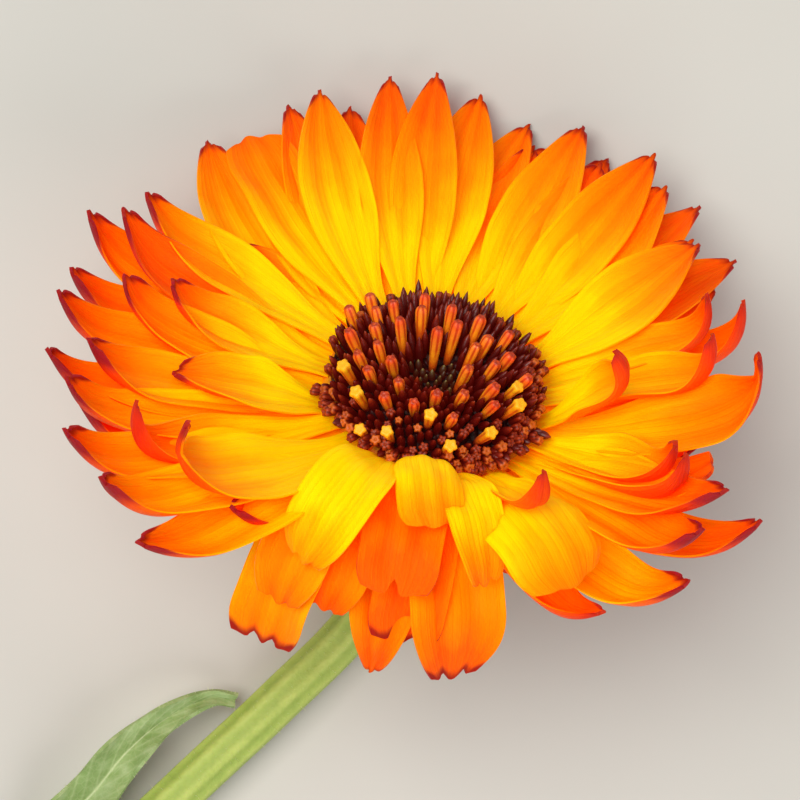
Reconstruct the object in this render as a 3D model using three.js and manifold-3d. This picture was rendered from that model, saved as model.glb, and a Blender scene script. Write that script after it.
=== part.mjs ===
// A cut pot marigold that lies on a surface: its head leans back on the far petal tips and on the stem.
// Units are millimetres. The head is drawn in a frame of its own, with its axis along Z, X to the
// right and Y to the far side, and is then leant over. The whole flower is last turned to rest.
import * as THREE from 'three';
import { mergeVertices } from 'three/addons/utils/BufferGeometryUtils.js';
import Module from 'manifold-3d';

const wasm = await Module();
wasm.setup();

// Driving sizes of the head
const GAP = 0.35;
const DISC_RADIUS = 9.3;
const RING_INNER = 7.6;
const RING_OUTER = 11;
const RING_TOP = 0.5;
const RING_BOTTOM = -2.4;
const PETAL_THICKNESS = 0.66;
const USUAL_LENGTH = 24;
const BUD_COUNT = 76;
const SHORTEST_EDGE = 0.02;
const BRACT_COUNT = 16;
const BRACT_WIDTH = 2.2;
const BRACT_THICKNESS = 0.7;

// How a petal is aimed: the number of rounds, and the most that its sway and length change in one
const AIM_ROUNDS = 20;
const SWAY_STEP = 12;
const LENGTH_STEP = 4;

// How the head leans, and how the flower then comes to rest
const HEAD_LEAN = 45;
const HEAD_YAW = 12;
const REST_TURN_X = -3.4;
const REST_TURN_Y = -3.4;

// The stem and its leaf
const STEM_RADIUS = 2.1;
const RIB_COUNT = 8;
const RIB_DEPTH = 0.16;
const STEM_STEPS = 26;
const LEAF_THICKNESS = 0.8;
const LEAF_WIDTH = 6;
const LEAF_FOLD = 45;

// The three layers that the petals are rooted in, from the inside out
const LAYERS = {
  inner: { radius: 10.2, height: 0.3 },
  middle: { radius: 9.6, height: -0.6 },
  outer: { radius: 9.0, height: -1.5 },
};

// The postures that a petal takes: its even bend, and a curl between two places along its length
const POSTURES = {
  spread: { bend: 14, curl: 0, from: 0.6, to: 1 },
  lifted: { bend: 4, curl: 42, from: 0.6, to: 1 },
  swept: { bend: 2, curl: 56, from: 0.64, to: 1 },
  hooked: { bend: 10, curl: 84, from: 0.55, to: 1 },
  rolled: { bend: 10, curl: 120, from: 0.45, to: 0.95 },
  sagged: { bend: -30, curl: 55, from: 0.6, to: 1 },
  scooping: { bend: -20, curl: 80, from: 0.6, to: 1 },
  nodding: { bend: -36, curl: 14, from: 0.8, to: 1 },
  drooped: { bend: -30, curl: -50, from: 0.4, to: 1 },
  crested: { bend: -20, curl: -90, from: 0.1, to: 0.9 },
  arched: { bend: -30, curl: -75, from: 0.15, to: 0.7 },
};

// How far the five points of a tip reach, as shares of the petal's length
const ONE_POINT = [0.95, 0.925, 1, 0.925, 0.95];
const BLUNT = [0.93, 0.975, 1, 0.975, 0.93];
const TWO_LOBES = [0.93, 1, 0.91, 1, 0.93];

// How the blade is cupped in its middle and at its tip, in degrees to each edge and below zero where it
// humps up, where along its length it starts and ends to narrow, the tip's share of the width, and its form
const BLADES = {
  open: { cup: [26, 40], narrowing: 0.56, narrowed: 1, tipShare: 0.3, tip: ONE_POINT },
  scooped: { cup: [34, 50], narrowing: 0.6, narrowed: 1, tipShare: 0.3, tip: ONE_POINT },
  crescent: { cup: [45, 60], narrowing: 0.4, narrowed: 1, tipShare: 0.3, tip: ONE_POINT },
  clawed: { cup: [34, 50], narrowing: 0.62, narrowed: 0.86, tipShare: 0.24, tip: ONE_POINT },
  blunt: { cup: [18, 24], narrowing: 0.84, narrowed: 1, tipShare: 0.62, tip: BLUNT },
  humped: { cup: [-36, -26], narrowing: 0.84, narrowed: 1, tipShare: 0.62, tip: BLUNT },
  draped: { cup: [24, 30], narrowing: 0.72, narrowed: 1, tipShare: 0.42, tip: BLUNT },
  lobed: { cup: [20, 26], narrowing: 0.82, narrowed: 1, tipShare: 0.66, tip: TWO_LOBES },
  toothed: { cup: [24, 36], narrowing: 0.82, narrowed: 1, tipShare: 0.66, tip: BLUNT },
  slanted: { cup: [26, 36], narrowing: 0.66, narrowed: 1, tipShare: 0.34, tip: BLUNT },
  pointed: { cup: [28, 40], narrowing: 0.5, narrowed: 1, tipShare: 0.3, tip: ONE_POINT },
};

// Every petal, counter-clockwise from the right: azimuth of its root, how far right and up of the disc's
// middle its tip shows from where the photo was taken, rise, width, posture and blade. Angles are in degrees.
const PETALS = {
  inner: [
    [10, 24.8, 5.3, 20, 6.8, 'hooked', 'crescent'],
    [36, 23.8, 13.2, 22, 8.0, 'spread', 'open'],
    [54, 20.8, 18.4, 6, 7.4, 'spread', 'open'],
    [69, 15.0, 20.4, 4, 6.4, 'spread', 'open'],
    [84, 10.6, 21.8, 0, 7.2, 'spread', 'open'],
    [97, 4.3, 26.5, 8, 7.0, 'spread', 'open'],
    [112, -3.8, 28.2, 12, 6.2, 'spread', 'open'],
    [127, -10.1, 27.0, 12, 7.2, 'spread', 'open'],
    [134, -16.5, 22.8, 3, 7.4, 'spread', 'blunt'],
    [158, -25.5, 17.9, 4, 7.2, 'swept', 'scooped'],
    [181, -23.2, 10.2, 8, 6.6, 'swept', 'scooped'],
    [208, -23.2, 1.9, 26, 7.4, 'nodding', 'scooped'],
    [219, -26.3, -0.6, 3, 6.8, 'hooked', 'crescent'],
    [235, -21.8, -2.4, 9, 8.6, 'hooked', 'clawed'],
    [254, -11.6, -15.2, 46, 7.0, 'crested', 'draped'],
    [271, 0.2, -12.0, 72, 6.0, 'crested', 'humped'],
    [285, 4.6, -17.2, 45, 5.4, 'crested', 'draped'],
    [302, 12.6, -17.2, 30, 9.6, 'drooped', 'humped'],
    [300, 9.8, -6.8, 24, 4.8, 'hooked', 'crescent'],
    [338, 21.6, -4.2, 10, 7.0, 'hooked', 'crescent'],
    [352, 16.1, 3.8, 46, 7.0, 'hooked', 'crescent'],
  ],
  middle: [
    [12, 22.5, 3.0, 4, 6.2, 'lifted', 'scooped'],
    [24, 24.3, 8.9, 20, 6.4, 'hooked', 'crescent'],
    [44, 23.2, 13.6, 6, 6.6, 'spread', 'open'],
    [62, 19.8, 21.3, 11, 7.0, 'spread', 'open'],
    [76, 13.4, 23.8, 8, 7.0, 'spread', 'open'],
    [91, 8.6, 23.9, 4, 6.6, 'spread', 'open'],
    [104, 0.4, 28.5, 15, 6.4, 'spread', 'open'],
    [120, -7.4, 25.5, 6, 6.6, 'spread', 'open'],
    [152, -20.1, 22.5, 3, 7.6, 'spread', 'open'],
    [160, -21.4, 13.0, 0, 6.4, 'spread', 'open'],
    [171, -27.5, 16.5, 8, 6.8, 'swept', 'scooped'],
    [190, -27.5, 10.6, 10, 6.8, 'swept', 'scooped'],
    [202, -30.7, 4.9, 10, 7.0, 'swept', 'scooped'],
    [212, -32.7, 1.5, 8, 6.8, 'swept', 'scooped'],
    [222, -32.8, -3.1, 8, 7.0, 'swept', 'scooped'],
    [231, -29.6, -7.4, 8, 7.0, 'swept', 'scooped'],
    [240, -26.4, -13.2, 14, 7.0, 'sagged', 'scooped'],
    [240, -18.0, -10.0, 2, 6.6, 'swept', 'scooped'],
    [245, -13.8, -18.8, 6, 6.8, 'drooped', 'draped'],
    [256, -9.8, -19.4, 2, 6.6, 'drooped', 'draped'],
    [269, -3.7, -18.0, 22, 7.4, 'drooped', 'lobed'],
    [293, 5.2, -15.8, 6, 6.6, 'arched', 'draped'],
    [325, 24.0, -12.0, 14, 8.0, 'scooping', 'scooped'],
    [329, 26.2, -8.5, 14, 7.0, 'lifted', 'scooped'],
    [337, 22.5, -5.3, 12, 6.8, 'hooked', 'crescent'],
    [350, 28.9, 3.6, 17, 8.4, 'hooked', 'clawed'],
  ],
  outer: [
    [22, 27.6, 8.3, 14, 6.8, 'hooked', 'crescent'],
    [43, 27.0, 11.8, 4, 6.6, 'spread', 'open'],
    [53, 23.8, 16.6, 6, 6.8, 'spread', 'open'],
    [71, 15.6, 20.9, 3, 6.6, 'spread', 'open'],
    [127, -12.9, 25.7, 8, 6.8, 'spread', 'open'],
    [137, -16.4, 21.4, 2, 6.8, 'spread', 'open'],
    [168, -30.7, 16.3, 4, 6.8, 'swept', 'scooped'],
    [178, -32.3, 11.2, 4, 6.8, 'swept', 'scooped'],
    [188, -33.4, 9.2, 8, 6.8, 'swept', 'scooped'],
    [201, -34.4, 4.0, 8, 6.8, 'swept', 'scooped'],
    [239, -24.1, -12.5, 8, 6.8, 'sagged', 'scooped'],
    [242, -15.2, -22.2, -6, 7.4, 'drooped', 'toothed'],
    [268, -5.6, -24.8, -10, 6.8, 'drooped', 'pointed'],
    [276, -2.8, -22.2, 0, 7.0, 'drooped', 'toothed'],
    [284, 1.5, -25.4, -4, 9.0, 'drooped', 'slanted'],
    [302, 15.3, -19.4, -12, 7.4, 'scooping', 'crescent'],
    [311, 22.8, -16.6, -2, 7.6, 'scooping', 'scooped'],
    [324, 29.3, -11.3, 0, 6.2, 'swept', 'scooped'],
    [337, 24.9, -6.7, 12, 6.4, 'lifted', 'blunt'],
  ],
};

// Where the photo was taken from, measured from the disc's middle: right, up and above
const VIEWPOINT = { right: -2.94, up: -0.62, above: 420 };

// The stem's middle line below the head, from where it meets the surface to its cut end
const STEM_ROUTE = [
  [-6.8, -21, -19.9],
  [-14.2, -28.6, -20.3],
  [-20.6, -34.6, -20.3],
  [-27.5, -41, -20.3],
  [-37.5, -49.5, -20.4],
];

// The leaf's middle line, from the stem's left side to its point
const LEAF_ROUTE = [
  [-18.4, -28.6, -20.2],
  [-20.4, -28.3, -19.4],
  [-24.2, -29.9, -18.4],
  [-28.2, -33.2, -18.2],
  [-32, -37.7, -18.9],
  [-37.6, -42.4, -20.6],
  [-44, -47, -21.4],
];

const radians = THREE.MathUtils.degToRad;
const smoothstep = THREE.MathUtils.smoothstep;
const vector = (x, y, z) => new THREE.Vector3(x, y, z);

// A repeatable number between 0 and 1 for the item and the purpose given
function draw(item, purpose) {
  const wave = Math.sin(item * 12.9898 + purpose * 78.233) * 43758.5453;
  return wave - Math.floor(wave);
}

// The head's frame in the flower's: columns to the right, to the far side and along the axis
function headMatrix() {
  const lean = radians(HEAD_LEAN);
  const yaw = radians(HEAD_YAW);
  const axis = vector(Math.sin(lean) * Math.sin(yaw), Math.sin(lean) * Math.cos(yaw), Math.cos(lean));
  const uphill = vector(Math.sin(yaw), Math.cos(yaw), 0);
  const far = uphill.addScaledVector(axis, -uphill.dot(axis)).normalize();
  const right = far.clone().cross(axis);
  return new THREE.Matrix4().makeBasis(right, far, axis);
}

// A closed solid from points and triangles
function solidOf(points, triangles) {
  const mesh = new wasm.Mesh({
    numProp: 3,
    vertProperties: new Float32Array(points.flatMap((p) => [p.x, p.y, p.z])),
    triVerts: new Uint32Array(triangles.flat()),
  });
  return new wasm.Manifold(mesh);
}

// A three.js geometry as a closed solid, placed by a matrix
function solidOfGeometry(geometry, matrix) {
  const bare = geometry.clone();
  bare.deleteAttribute('normal');
  bare.deleteAttribute('uv');
  if (matrix) {
    bare.applyMatrix4(matrix);
  }
  const merged = mergeVertices(bare, 1e-4);
  const mesh = new wasm.Mesh({
    numProp: 3,
    vertProperties: merged.attributes.position.array,
    triVerts: new Uint32Array(merged.index.array),
  });
  return new wasm.Manifold(mesh);
}

// Joins solids pair by pair, and keeps the largest body of what comes out
function fuse(solids) {
  let rest = solids;
  while (rest.length > 1) {
    const joined = [];
    for (let i = 0; i < rest.length; i += 2) {
      joined.push(i + 1 < rest.length ? rest[i].add(rest[i + 1]) : rest[i]);
    }
    rest = joined;
  }
  return closeShortEdges(rest[0]).decompose().reduce((a, b) => (a.volume() > b.volume() ? a : b));
}

// Blades that cross leave edges too short to keep: the two ends of each become one point
function closeShortEdges(solid) {
  const { vertProperties, triVerts } = solid.getMesh();
  const target = Array.from({ length: vertProperties.length / 3 }, (_, i) => i);
  const place = (i) => new THREE.Vector3().fromArray(vertProperties, 3 * i);
  const kept = (i) => (target[i] === i ? i : kept(target[i]));
  for (let i = 0; i < triVerts.length; i += 3) {
    for (const [a, b] of [[i, i + 1], [i + 1, i + 2], [i + 2, i]]) {
      if (place(triVerts[a]).distanceTo(place(triVerts[b])) < SHORTEST_EDGE) {
        target[kept(triVerts[b])] = kept(triVerts[a]);
      }
    }
  }
  const triangles = [];
  for (let i = 0; i < triVerts.length; i += 3) {
    const [a, b, c] = [0, 1, 2].map((k) => kept(triVerts[i + k]));
    if (a !== b && b !== c && c !== a) {
      triangles.push([a, b, c]);
    }
  }
  return solidOf(target.map((_, i) => place(i)), triangles);
}

function meshOf(name, solid, material) {
  const { vertProperties, triVerts } = solid.getMesh();
  const geometry = new THREE.BufferGeometry();
  geometry.setAttribute('position', new THREE.BufferAttribute(vertProperties, 3));
  geometry.setIndex(new THREE.BufferAttribute(triVerts, 1));
  geometry.computeVertexNormals();
  const mesh = new THREE.Mesh(geometry, material);
  mesh.name = name;
  return mesh;
}

// A blade from rows of points on its upper and under face, with the last row free to have more points.
// Both faces are split into triangles alike.
function bladeSolid(upper, under) {
  const points = [...upper.flat(), ...under.flat()];
  const underStart = upper.flat().length;
  const rowStart = [];
  let count = 0;
  for (const row of upper) {
    rowStart.push(count);
    count += row.length;
  }
  const face = [];
  for (let i = 0; i + 1 < upper.length; i++) {
    face.push(...stripBetween(rowStart[i], upper[i].length, rowStart[i + 1], upper[i + 1].length));
  }
  const triangles = face.flatMap(([a, b, c]) => [
    [a, b, c],
    [underStart + a, underStart + c, underStart + b],
  ]);
  const rim = rimOf(rowStart, upper.map((row) => row.length));
  rim.forEach((a, i) => {
    const b = rim[(i + 1) % rim.length];
    triangles.push([b, a, underStart + a], [b, underStart + a, underStart + b]);
  });
  return solidOf(points, triangles);
}

// Triangles between two rows of points, each step taken on the row that lags behind
function stripBetween(startA, countA, startB, countB) {
  const triangles = [];
  let a = 0;
  let b = 0;
  while (a < countA - 1 || b < countB - 1) {
    const nextA = (a + 0.5) / (countA - 1);
    const nextB = (b + 0.5) / (countB - 1);
    if (b === countB - 1 || (a < countA - 1 && nextA <= nextB)) {
      triangles.push([startA + a, startA + a + 1, startB + b]);
      a += 1;
    } else {
      triangles.push([startA + a, startB + b + 1, startB + b]);
      b += 1;
    }
  }
  return triangles;
}

// The points round a face of rows, counter-clockwise
function rimOf(rowStart, rowLength) {
  const last = rowStart.length - 1;
  const root = Array.from({ length: rowLength[0] }, (_, j) => j);
  const right = rowStart.slice(1, last).map((start, i) => start + rowLength[i + 1] - 1);
  const tip = Array.from({ length: rowLength[last] }, (_, j) => rowStart[last] + rowLength[last] - 1 - j);
  const left = rowStart.slice(1, last).reverse();
  return [...root, ...right, ...tip, ...left];
}

// A petal's middle line, as places with the direction on, the way across and the way up.
// Sway is how far, in degrees, the petal veers round the head on its way out.
function petalLine([azimuth, , , rise, , posture], layer, sway, length) {
  const steps = 40;
  const { bend, curl, from, to } = POSTURES[posture];
  const { radius, height } = LAYERS[layer];
  const point = vector(radius * Math.cos(radians(azimuth)), radius * Math.sin(radians(azimuth)), height);
  return Array.from({ length: steps + 1 }, (_, i) => {
    const s = i / steps;
    const climb = radians(rise + bend * s + curl * smoothstep(s, from, to));
    const heading = radians(azimuth + sway * s);
    const along = vector(
      Math.cos(climb) * Math.cos(heading),
      Math.cos(climb) * Math.sin(heading),
      Math.sin(climb),
    );
    if (i > 0) {
      point.addScaledVector(along, length / steps);
    }
    const across = vector(-Math.sin(heading), Math.cos(heading), 0);
    return { point: point.clone(), along, across, up: along.clone().cross(across) };
  });
}

// How far right and up of the disc's middle a point of the head shows from where the photo was taken
function seen(point) {
  const { x, y, z } = point.clone().applyMatrix4(headFrame);
  const nearness = VIEWPOINT.above / (VIEWPOINT.above - z);
  return new THREE.Vector2(
    VIEWPOINT.right + (x - VIEWPOINT.right) * nearness,
    VIEWPOINT.up + (y - VIEWPOINT.up) * nearness,
  );
}

// The sway and the length that bring the petal's tip to where it shows in the photo
function aimed(petal, layer) {
  const [, right, up] = petal;
  const tipAt = (sway, length) => seen(petalLine(petal, layer, sway, length).at(-1).point);
  let sway = 0;
  let length = USUAL_LENGTH;
  for (let round = 0; round < AIM_ROUNDS; round++) {
    const here = tipAt(sway, length);
    const bySway = tipAt(sway + 1, length).sub(here);
    const byLength = tipAt(sway, length + 1).sub(here);
    const miss = new THREE.Vector2(right, up).sub(here);
    const area = bySway.cross(byLength);
    sway += THREE.MathUtils.clamp(miss.cross(byLength) / area, -SWAY_STEP, SWAY_STEP);
    length += THREE.MathUtils.clamp(bySway.cross(miss) / area, -LENGTH_STEP, LENGTH_STEP);
  }
  return { sway, length };
}

// The place at a fraction of the way along the line, also a little before its start
function placeAt(line, s, length) {
  const i = THREE.MathUtils.clamp(Math.round(s * (line.length - 1)), 0, line.length - 1);
  const place = line[i];
  const beyond = (s - i / (line.length - 1)) * length;
  return { ...place, point: place.point.clone().addScaledVector(place.along, beyond) };
}

// Half of the petal's width along its length, as a share of half its full width
function petalOutline(s, { narrowing, narrowed, tipShare }) {
  const widening = 0.32 + 0.68 * smoothstep(s, 0, 0.5);
  const tapering = THREE.MathUtils.clamp((s - narrowing) / (narrowed - narrowing), 0, 1) ** 2;
  return widening * (1 - (1 - tipShare) * tapering);
}

const PETAL_ROWS = [-0.045, 0.25, 0.52, 0.78];

function petalSolid(petal, layer) {
  const blade = BLADES[petal[6]];
  const { sway, length } = aimed(petal, layer);
  const line = petalLine(petal, layer, sway, length);
  const faceRows = (side) => {
    const sectionPoint = (s, q) => {
      const { point, across, up } = placeAt(line, s, length);
      const halfWidth = (petal[4] / 2) * petalOutline(s, blade);
      const cup = radians(THREE.MathUtils.lerp(...blade.cup, smoothstep(s, 0.5, 1)));
      const angle = cup * q;
      return point
        .addScaledVector(across, (halfWidth * Math.sin(angle)) / cup)
        .addScaledVector(up, (halfWidth * (1 - Math.cos(angle))) / cup)
        .addScaledVector(across, (-side * Math.sin(angle) * PETAL_THICKNESS) / 2)
        .addScaledVector(up, (side * Math.cos(angle) * PETAL_THICKNESS) / 2);
    };
    const rows = PETAL_ROWS.map((s) => [1, 0, -1].map((q) => sectionPoint(s, q)));
    const tip = blade.tip.map((reach, j) => sectionPoint(reach, 1 - j / 2));
    return [...rows, tip];
  };
  return bladeSolid(faceRows(1), faceRows(-1));
}

function rayFlorets() {
  const ring = new THREE.LatheGeometry(
    [
      new THREE.Vector2(RING_INNER, RING_BOTTOM),
      new THREE.Vector2(RING_OUTER - 1, RING_BOTTOM),
      new THREE.Vector2(RING_OUTER, RING_TOP - 1),
      new THREE.Vector2(RING_OUTER - 0.8, RING_TOP),
      new THREE.Vector2(RING_INNER, RING_TOP),
      new THREE.Vector2(RING_INNER, RING_BOTTOM),
    ],
    30,
  );
  ring.rotateX(Math.PI / 2);
  const petals = Object.entries(PETALS).flatMap(([layer, rows]) => rows.map((row) => petalSolid(row, layer)));
  return fuse([solidOfGeometry(ring), ...petals]);
}

// The height of the disc's crater-shaped top at a distance from the axis
function discTop(r) {
  return 1.5 + 1.5 * smoothstep(r, 1.5, 5.5) - 1.4 * smoothstep(r, 6.8, DISC_RADIUS);
}

// One small floret: a body with few sides that widens upwards and comes to a point
function budSolid(place, lean, turn, radius, height, sides) {
  const root = 0.8;
  const outwards = vector(Math.cos(turn), Math.sin(turn), 0);
  const up = vector(0, 0, Math.cos(lean)).addScaledVector(outwards, Math.sin(lean)).normalize();
  const across = vector(-Math.sin(turn), Math.cos(turn), 0);
  const out = across.clone().cross(up);
  const ringOf = (level, size) =>
    Array.from({ length: sides }, (_, k) => {
      const angle = (k / sides) * 2 * Math.PI;
      return place
        .clone()
        .addScaledVector(up, level)
        .addScaledVector(across, size * Math.sin(angle))
        .addScaledVector(out, size * Math.cos(angle));
    });
  const foot = place.clone().addScaledVector(up, -root);
  const apex = place.clone().addScaledVector(up, height);
  const points = [foot, ...ringOf(-root * 0.5, radius * 0.8), ...ringOf(height * 0.72, radius), apex];
  const triangles = [];
  for (let k = 0; k < sides; k++) {
    const next = (k + 1) % sides;
    const low = 1 + k;
    const lowNext = 1 + next;
    const high = 1 + sides + k;
    const highNext = 1 + sides + next;
    triangles.push([0, lowNext, low], [low, lowNext, highNext], [low, highNext, high]);
    triangles.push([high, highNext, points.length - 1]);
  }
  return solidOf(points, triangles);
}

function discFlorets() {
  const base = RING_TOP + GAP;
  const profile = [new THREE.Vector2(0, base), new THREE.Vector2(DISC_RADIUS, base)];
  for (const r of [DISC_RADIUS, 8, 5.5, 3.5]) {
    profile.push(new THREE.Vector2(r, discTop(r)));
  }
  profile.push(new THREE.Vector2(0, discTop(0)));
  const core = new THREE.LatheGeometry(profile, 16);
  core.rotateX(Math.PI / 2);
  const buds = Array.from({ length: BUD_COUNT }, (_, i) => {
    const r = (DISC_RADIUS - 0.5) * Math.sqrt((i + 0.5) / BUD_COUNT);
    const turn = i * radians(137.508);
    const isTube = r > 3.4 && draw(i, 1) < 0.5;
    const middle = r < 2.6;
    const height = isTube ? 2.4 + 1.6 * draw(i, 2) : middle ? 0.5 : 1 + 0.5 * draw(i, 3);
    const lean = radians(4 + 3.2 * r + 14 * (draw(i, 4) - 0.5));
    const place = vector(r * Math.cos(turn), r * Math.sin(turn), discTop(r));
    return budSolid(place, lean, turn, isTube ? 0.62 : 0.72, height, isTube ? 5 : 4);
  });
  return fuse([solidOfGeometry(core), ...buds]);
}

// The swollen end of the stem that carries the head, in the head's frame
function receptacleSolid(matrix) {
  const plug = RING_INNER - GAP;
  const underRing = RING_BOTTOM - GAP;
  const profile = [
    [0, -11],
    [STEM_RADIUS, -11],
    [2.6, -9.2],
    [4.2, -7.6],
    [6.4, -5.9],
    [8.2, -4.2],
    [9, underRing],
    [plug, underRing],
    [plug, RING_TOP],
    [0, RING_TOP],
  ];
  const lathe = new THREE.LatheGeometry(profile.map(([r, z]) => new THREE.Vector2(r, z)), 24);
  lathe.rotateX(Math.PI / 2);
  return solidOfGeometry(lathe, matrix);
}

// The stem's section, with its lengthwise ribs
function stemSection() {
  const points = [];
  for (let k = 0; k < RIB_COUNT * 2; k++) {
    const angle = (k / (RIB_COUNT * 2)) * 2 * Math.PI;
    const radius = STEM_RADIUS + (k % 2 === 0 ? RIB_DEPTH : -RIB_DEPTH);
    points.push(new THREE.Vector2(radius * Math.cos(angle), radius * Math.sin(angle)));
  }
  return new THREE.Shape(points);
}

function stemSolid(head) {
  const fromHead = [-8.5, -12, -16].map((z) => vector(0, 0, z).applyMatrix4(head));
  const route = [...fromHead, ...STEM_ROUTE.map((p) => vector(...p))];
  const path = new THREE.CatmullRomCurve3(route, false, 'centripetal');
  const tube = new THREE.ExtrudeGeometry(stemSection(), { steps: STEM_STEPS, extrudePath: path });
  return fuse([receptacleSolid(head), solidOfGeometry(tube)]);
}

// The bracts stand on a thin cup that wraps the receptacle's underside
function involucreSolid() {
  const inner = [[9.35, RING_BOTTOM - GAP], [8.55, -4.3], [6.75, -6.15], [4.7, -7.85]];
  const outer = [[5.3, -8.5], [7.4, -6.75], [9.3, -4.75], [10.1, RING_BOTTOM - GAP]];
  const profile = [...inner, ...outer, inner[0]].map(([r, z]) => new THREE.Vector2(r, z));
  const cup = new THREE.LatheGeometry(profile, 24);
  cup.rotateX(Math.PI / 2);
  const bracts = Array.from({ length: BRACT_COUNT }, (_, i) => bractSolid(i));
  return fuse([solidOfGeometry(cup), ...bracts]);
}

// A bract's places from its foot to its point: distance from the axis, height, share of its width
const BRACT_ROUTE = [[6.1, -7.9, 0.7], [9.3, -5, 1], [12, -3.7, 0.6], [14.1, -3.6, 0.1]];

// One bract: a narrow pointed blade that follows the cup and then stands out under the petals
function bractSolid(i) {
  const azimuth = radians(((i + 0.3 * draw(i, 5)) / BRACT_COUNT) * 360);
  const out = vector(Math.cos(azimuth), Math.sin(azimuth), 0);
  const across = vector(-Math.sin(azimuth), Math.cos(azimuth), 0);
  const rowsAt = (side) =>
    BRACT_ROUTE.map(([r, z, share]) => {
      const centre = out.clone().multiplyScalar(r).setZ(z + (side * BRACT_THICKNESS) / 2);
      const half = (BRACT_WIDTH / 2) * share;
      return [half, -half].map((w) => centre.clone().addScaledVector(across, w));
    });
  return bladeSolid(rowsAt(1), rowsAt(-1));
}

// The leaf: one narrow blade folded along its midrib, with slightly waved edges
function leafSolid() {
  const path = new THREE.CatmullRomCurve3(LEAF_ROUTE.map((p) => vector(...p)), false, 'centripetal');
  const rows = 12;
  const faceRows = (side) =>
    Array.from({ length: rows + 1 }, (_, i) => {
      const s = i / rows;
      const point = path.getPointAt(s);
      const along = path.getTangentAt(s);
      const across = vector(0, 0, 1).cross(along).normalize();
      const up = along.clone().cross(across);
      const share = 0.3 + 0.7 * smoothstep(s, 0, 0.5) - 0.94 * smoothstep(s, 0.6, 1.03);
      const half = (LEAF_WIDTH / 2) * Math.max(share, 0.08);
      const fold = radians(LEAF_FOLD);
      return [1, 0, -1].map((q) =>
        point
          .clone()
          .addScaledVector(across, q * half * Math.cos(fold))
          .addScaledVector(up, Math.abs(q) * half * Math.sin(fold))
          .addScaledVector(up, (side * LEAF_THICKNESS) / 2),
      );
    });
  return bladeSolid(faceRows(1), faceRows(-1));
}

const materials = {
  petals: new THREE.MeshStandardMaterial({ color: 0xff9a08, roughness: 0.55, metalness: 0 }),
  disc: new THREE.MeshStandardMaterial({ color: 0x6a1a0c, roughness: 0.5, metalness: 0 }),
  stem: new THREE.MeshStandardMaterial({ color: 0x8fae4a, roughness: 0.7, metalness: 0 }),
  bracts: new THREE.MeshStandardMaterial({ color: 0x6f9440, roughness: 0.75, metalness: 0 }),
  leaf: new THREE.MeshStandardMaterial({ color: 0x93a97a, roughness: 0.75, metalness: 0 }),
};

const headFrame = headMatrix();
const head = new THREE.Group();
head.applyMatrix4(headFrame);
head.add(meshOf('ray_florets', rayFlorets(), materials.petals));
head.add(meshOf('disc_florets', discFlorets(), materials.disc));
head.add(meshOf('involucre', involucreSolid(), materials.bracts));

const flower = new THREE.Group();
flower.rotation.set(radians(REST_TURN_X), radians(REST_TURN_Y), 0);
flower.add(head);
flower.add(meshOf('stem', stemSolid(headFrame), materials.stem));
flower.add(meshOf('leaf', leafSolid(), materials.leaf));

// The part's origin is under the middle of the flower, on the surface that it lies on
const part = new THREE.Group();
part.add(flower);
part.updateMatrixWorld(true);
const box = new THREE.Box3().setFromObject(part, true);
flower.position.set(-(box.min.x + box.max.x) / 2, -(box.min.y + box.max.y) / 2, -box.min.z);
part.updateMatrixWorld(true);

export default part;
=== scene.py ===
"""A cut pot marigold that lies on a pale surface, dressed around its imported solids."""

import math
from collections import namedtuple

import bpy
import numpy as np
from mathutils import Matrix, Vector


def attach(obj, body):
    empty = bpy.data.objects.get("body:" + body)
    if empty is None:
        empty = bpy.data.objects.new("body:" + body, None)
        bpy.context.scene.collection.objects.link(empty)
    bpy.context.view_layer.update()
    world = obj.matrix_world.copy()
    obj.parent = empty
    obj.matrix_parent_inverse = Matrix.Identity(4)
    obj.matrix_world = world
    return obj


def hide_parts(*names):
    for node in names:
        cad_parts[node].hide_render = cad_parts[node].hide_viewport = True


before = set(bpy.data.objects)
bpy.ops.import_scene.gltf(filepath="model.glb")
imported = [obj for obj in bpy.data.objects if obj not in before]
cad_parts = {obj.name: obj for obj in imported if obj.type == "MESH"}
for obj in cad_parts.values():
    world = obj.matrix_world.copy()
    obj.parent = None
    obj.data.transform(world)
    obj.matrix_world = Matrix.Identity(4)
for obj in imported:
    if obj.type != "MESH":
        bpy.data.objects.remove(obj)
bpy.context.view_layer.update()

# The flower as it lies.
# The head is drawn in millimetres in a frame of its own, with its axis along Z and Y to the far side.
# It leans back from the stem, and the flower has tipped a little onto its far petal tips and its stem.
MM = 0.001
HEAD_LEAN = math.radians(45)
HEAD_YAW = math.radians(12)
REST_TURN_X = math.radians(-3.4)
REST_TURN_Y = math.radians(-3.4)
DISC_PLACE = (7.055, 11.821, 21.745)
# The camera's place from the disc's middle, before the tip to rest. It is tipped as the flower is.
CAMERA_PLACE = (-2.94, -0.62, 420)

head_axis = Vector(
    (
        math.sin(HEAD_LEAN) * math.sin(HEAD_YAW),
        math.sin(HEAD_LEAN) * math.cos(HEAD_YAW),
        math.cos(HEAD_LEAN),
    )
)
uphill = Vector((math.sin(HEAD_YAW), math.cos(HEAD_YAW), 0))
head_far = (uphill - uphill.dot(head_axis) * head_axis).normalized()
head_right = head_far.cross(head_axis)
rest_turn = Matrix.Rotation(REST_TURN_X, 4, "X") @ Matrix.Rotation(REST_TURN_Y, 4, "Y")
flower_place = Matrix.Scale(MM, 4) @ Matrix.Translation(DISC_PLACE) @ rest_turn
head_turn = Matrix((head_right, head_far, head_axis)).transposed().to_4x4()
head_place = flower_place @ head_turn

# Petals, the ray florets.
# Each is a soft thin blade with a channelled face, lengthwise pleats, rolled edges and a toothed tip. They
# grow in three layers round the disc. The upper face is yellow and orange, and the underside is redder.

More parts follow.
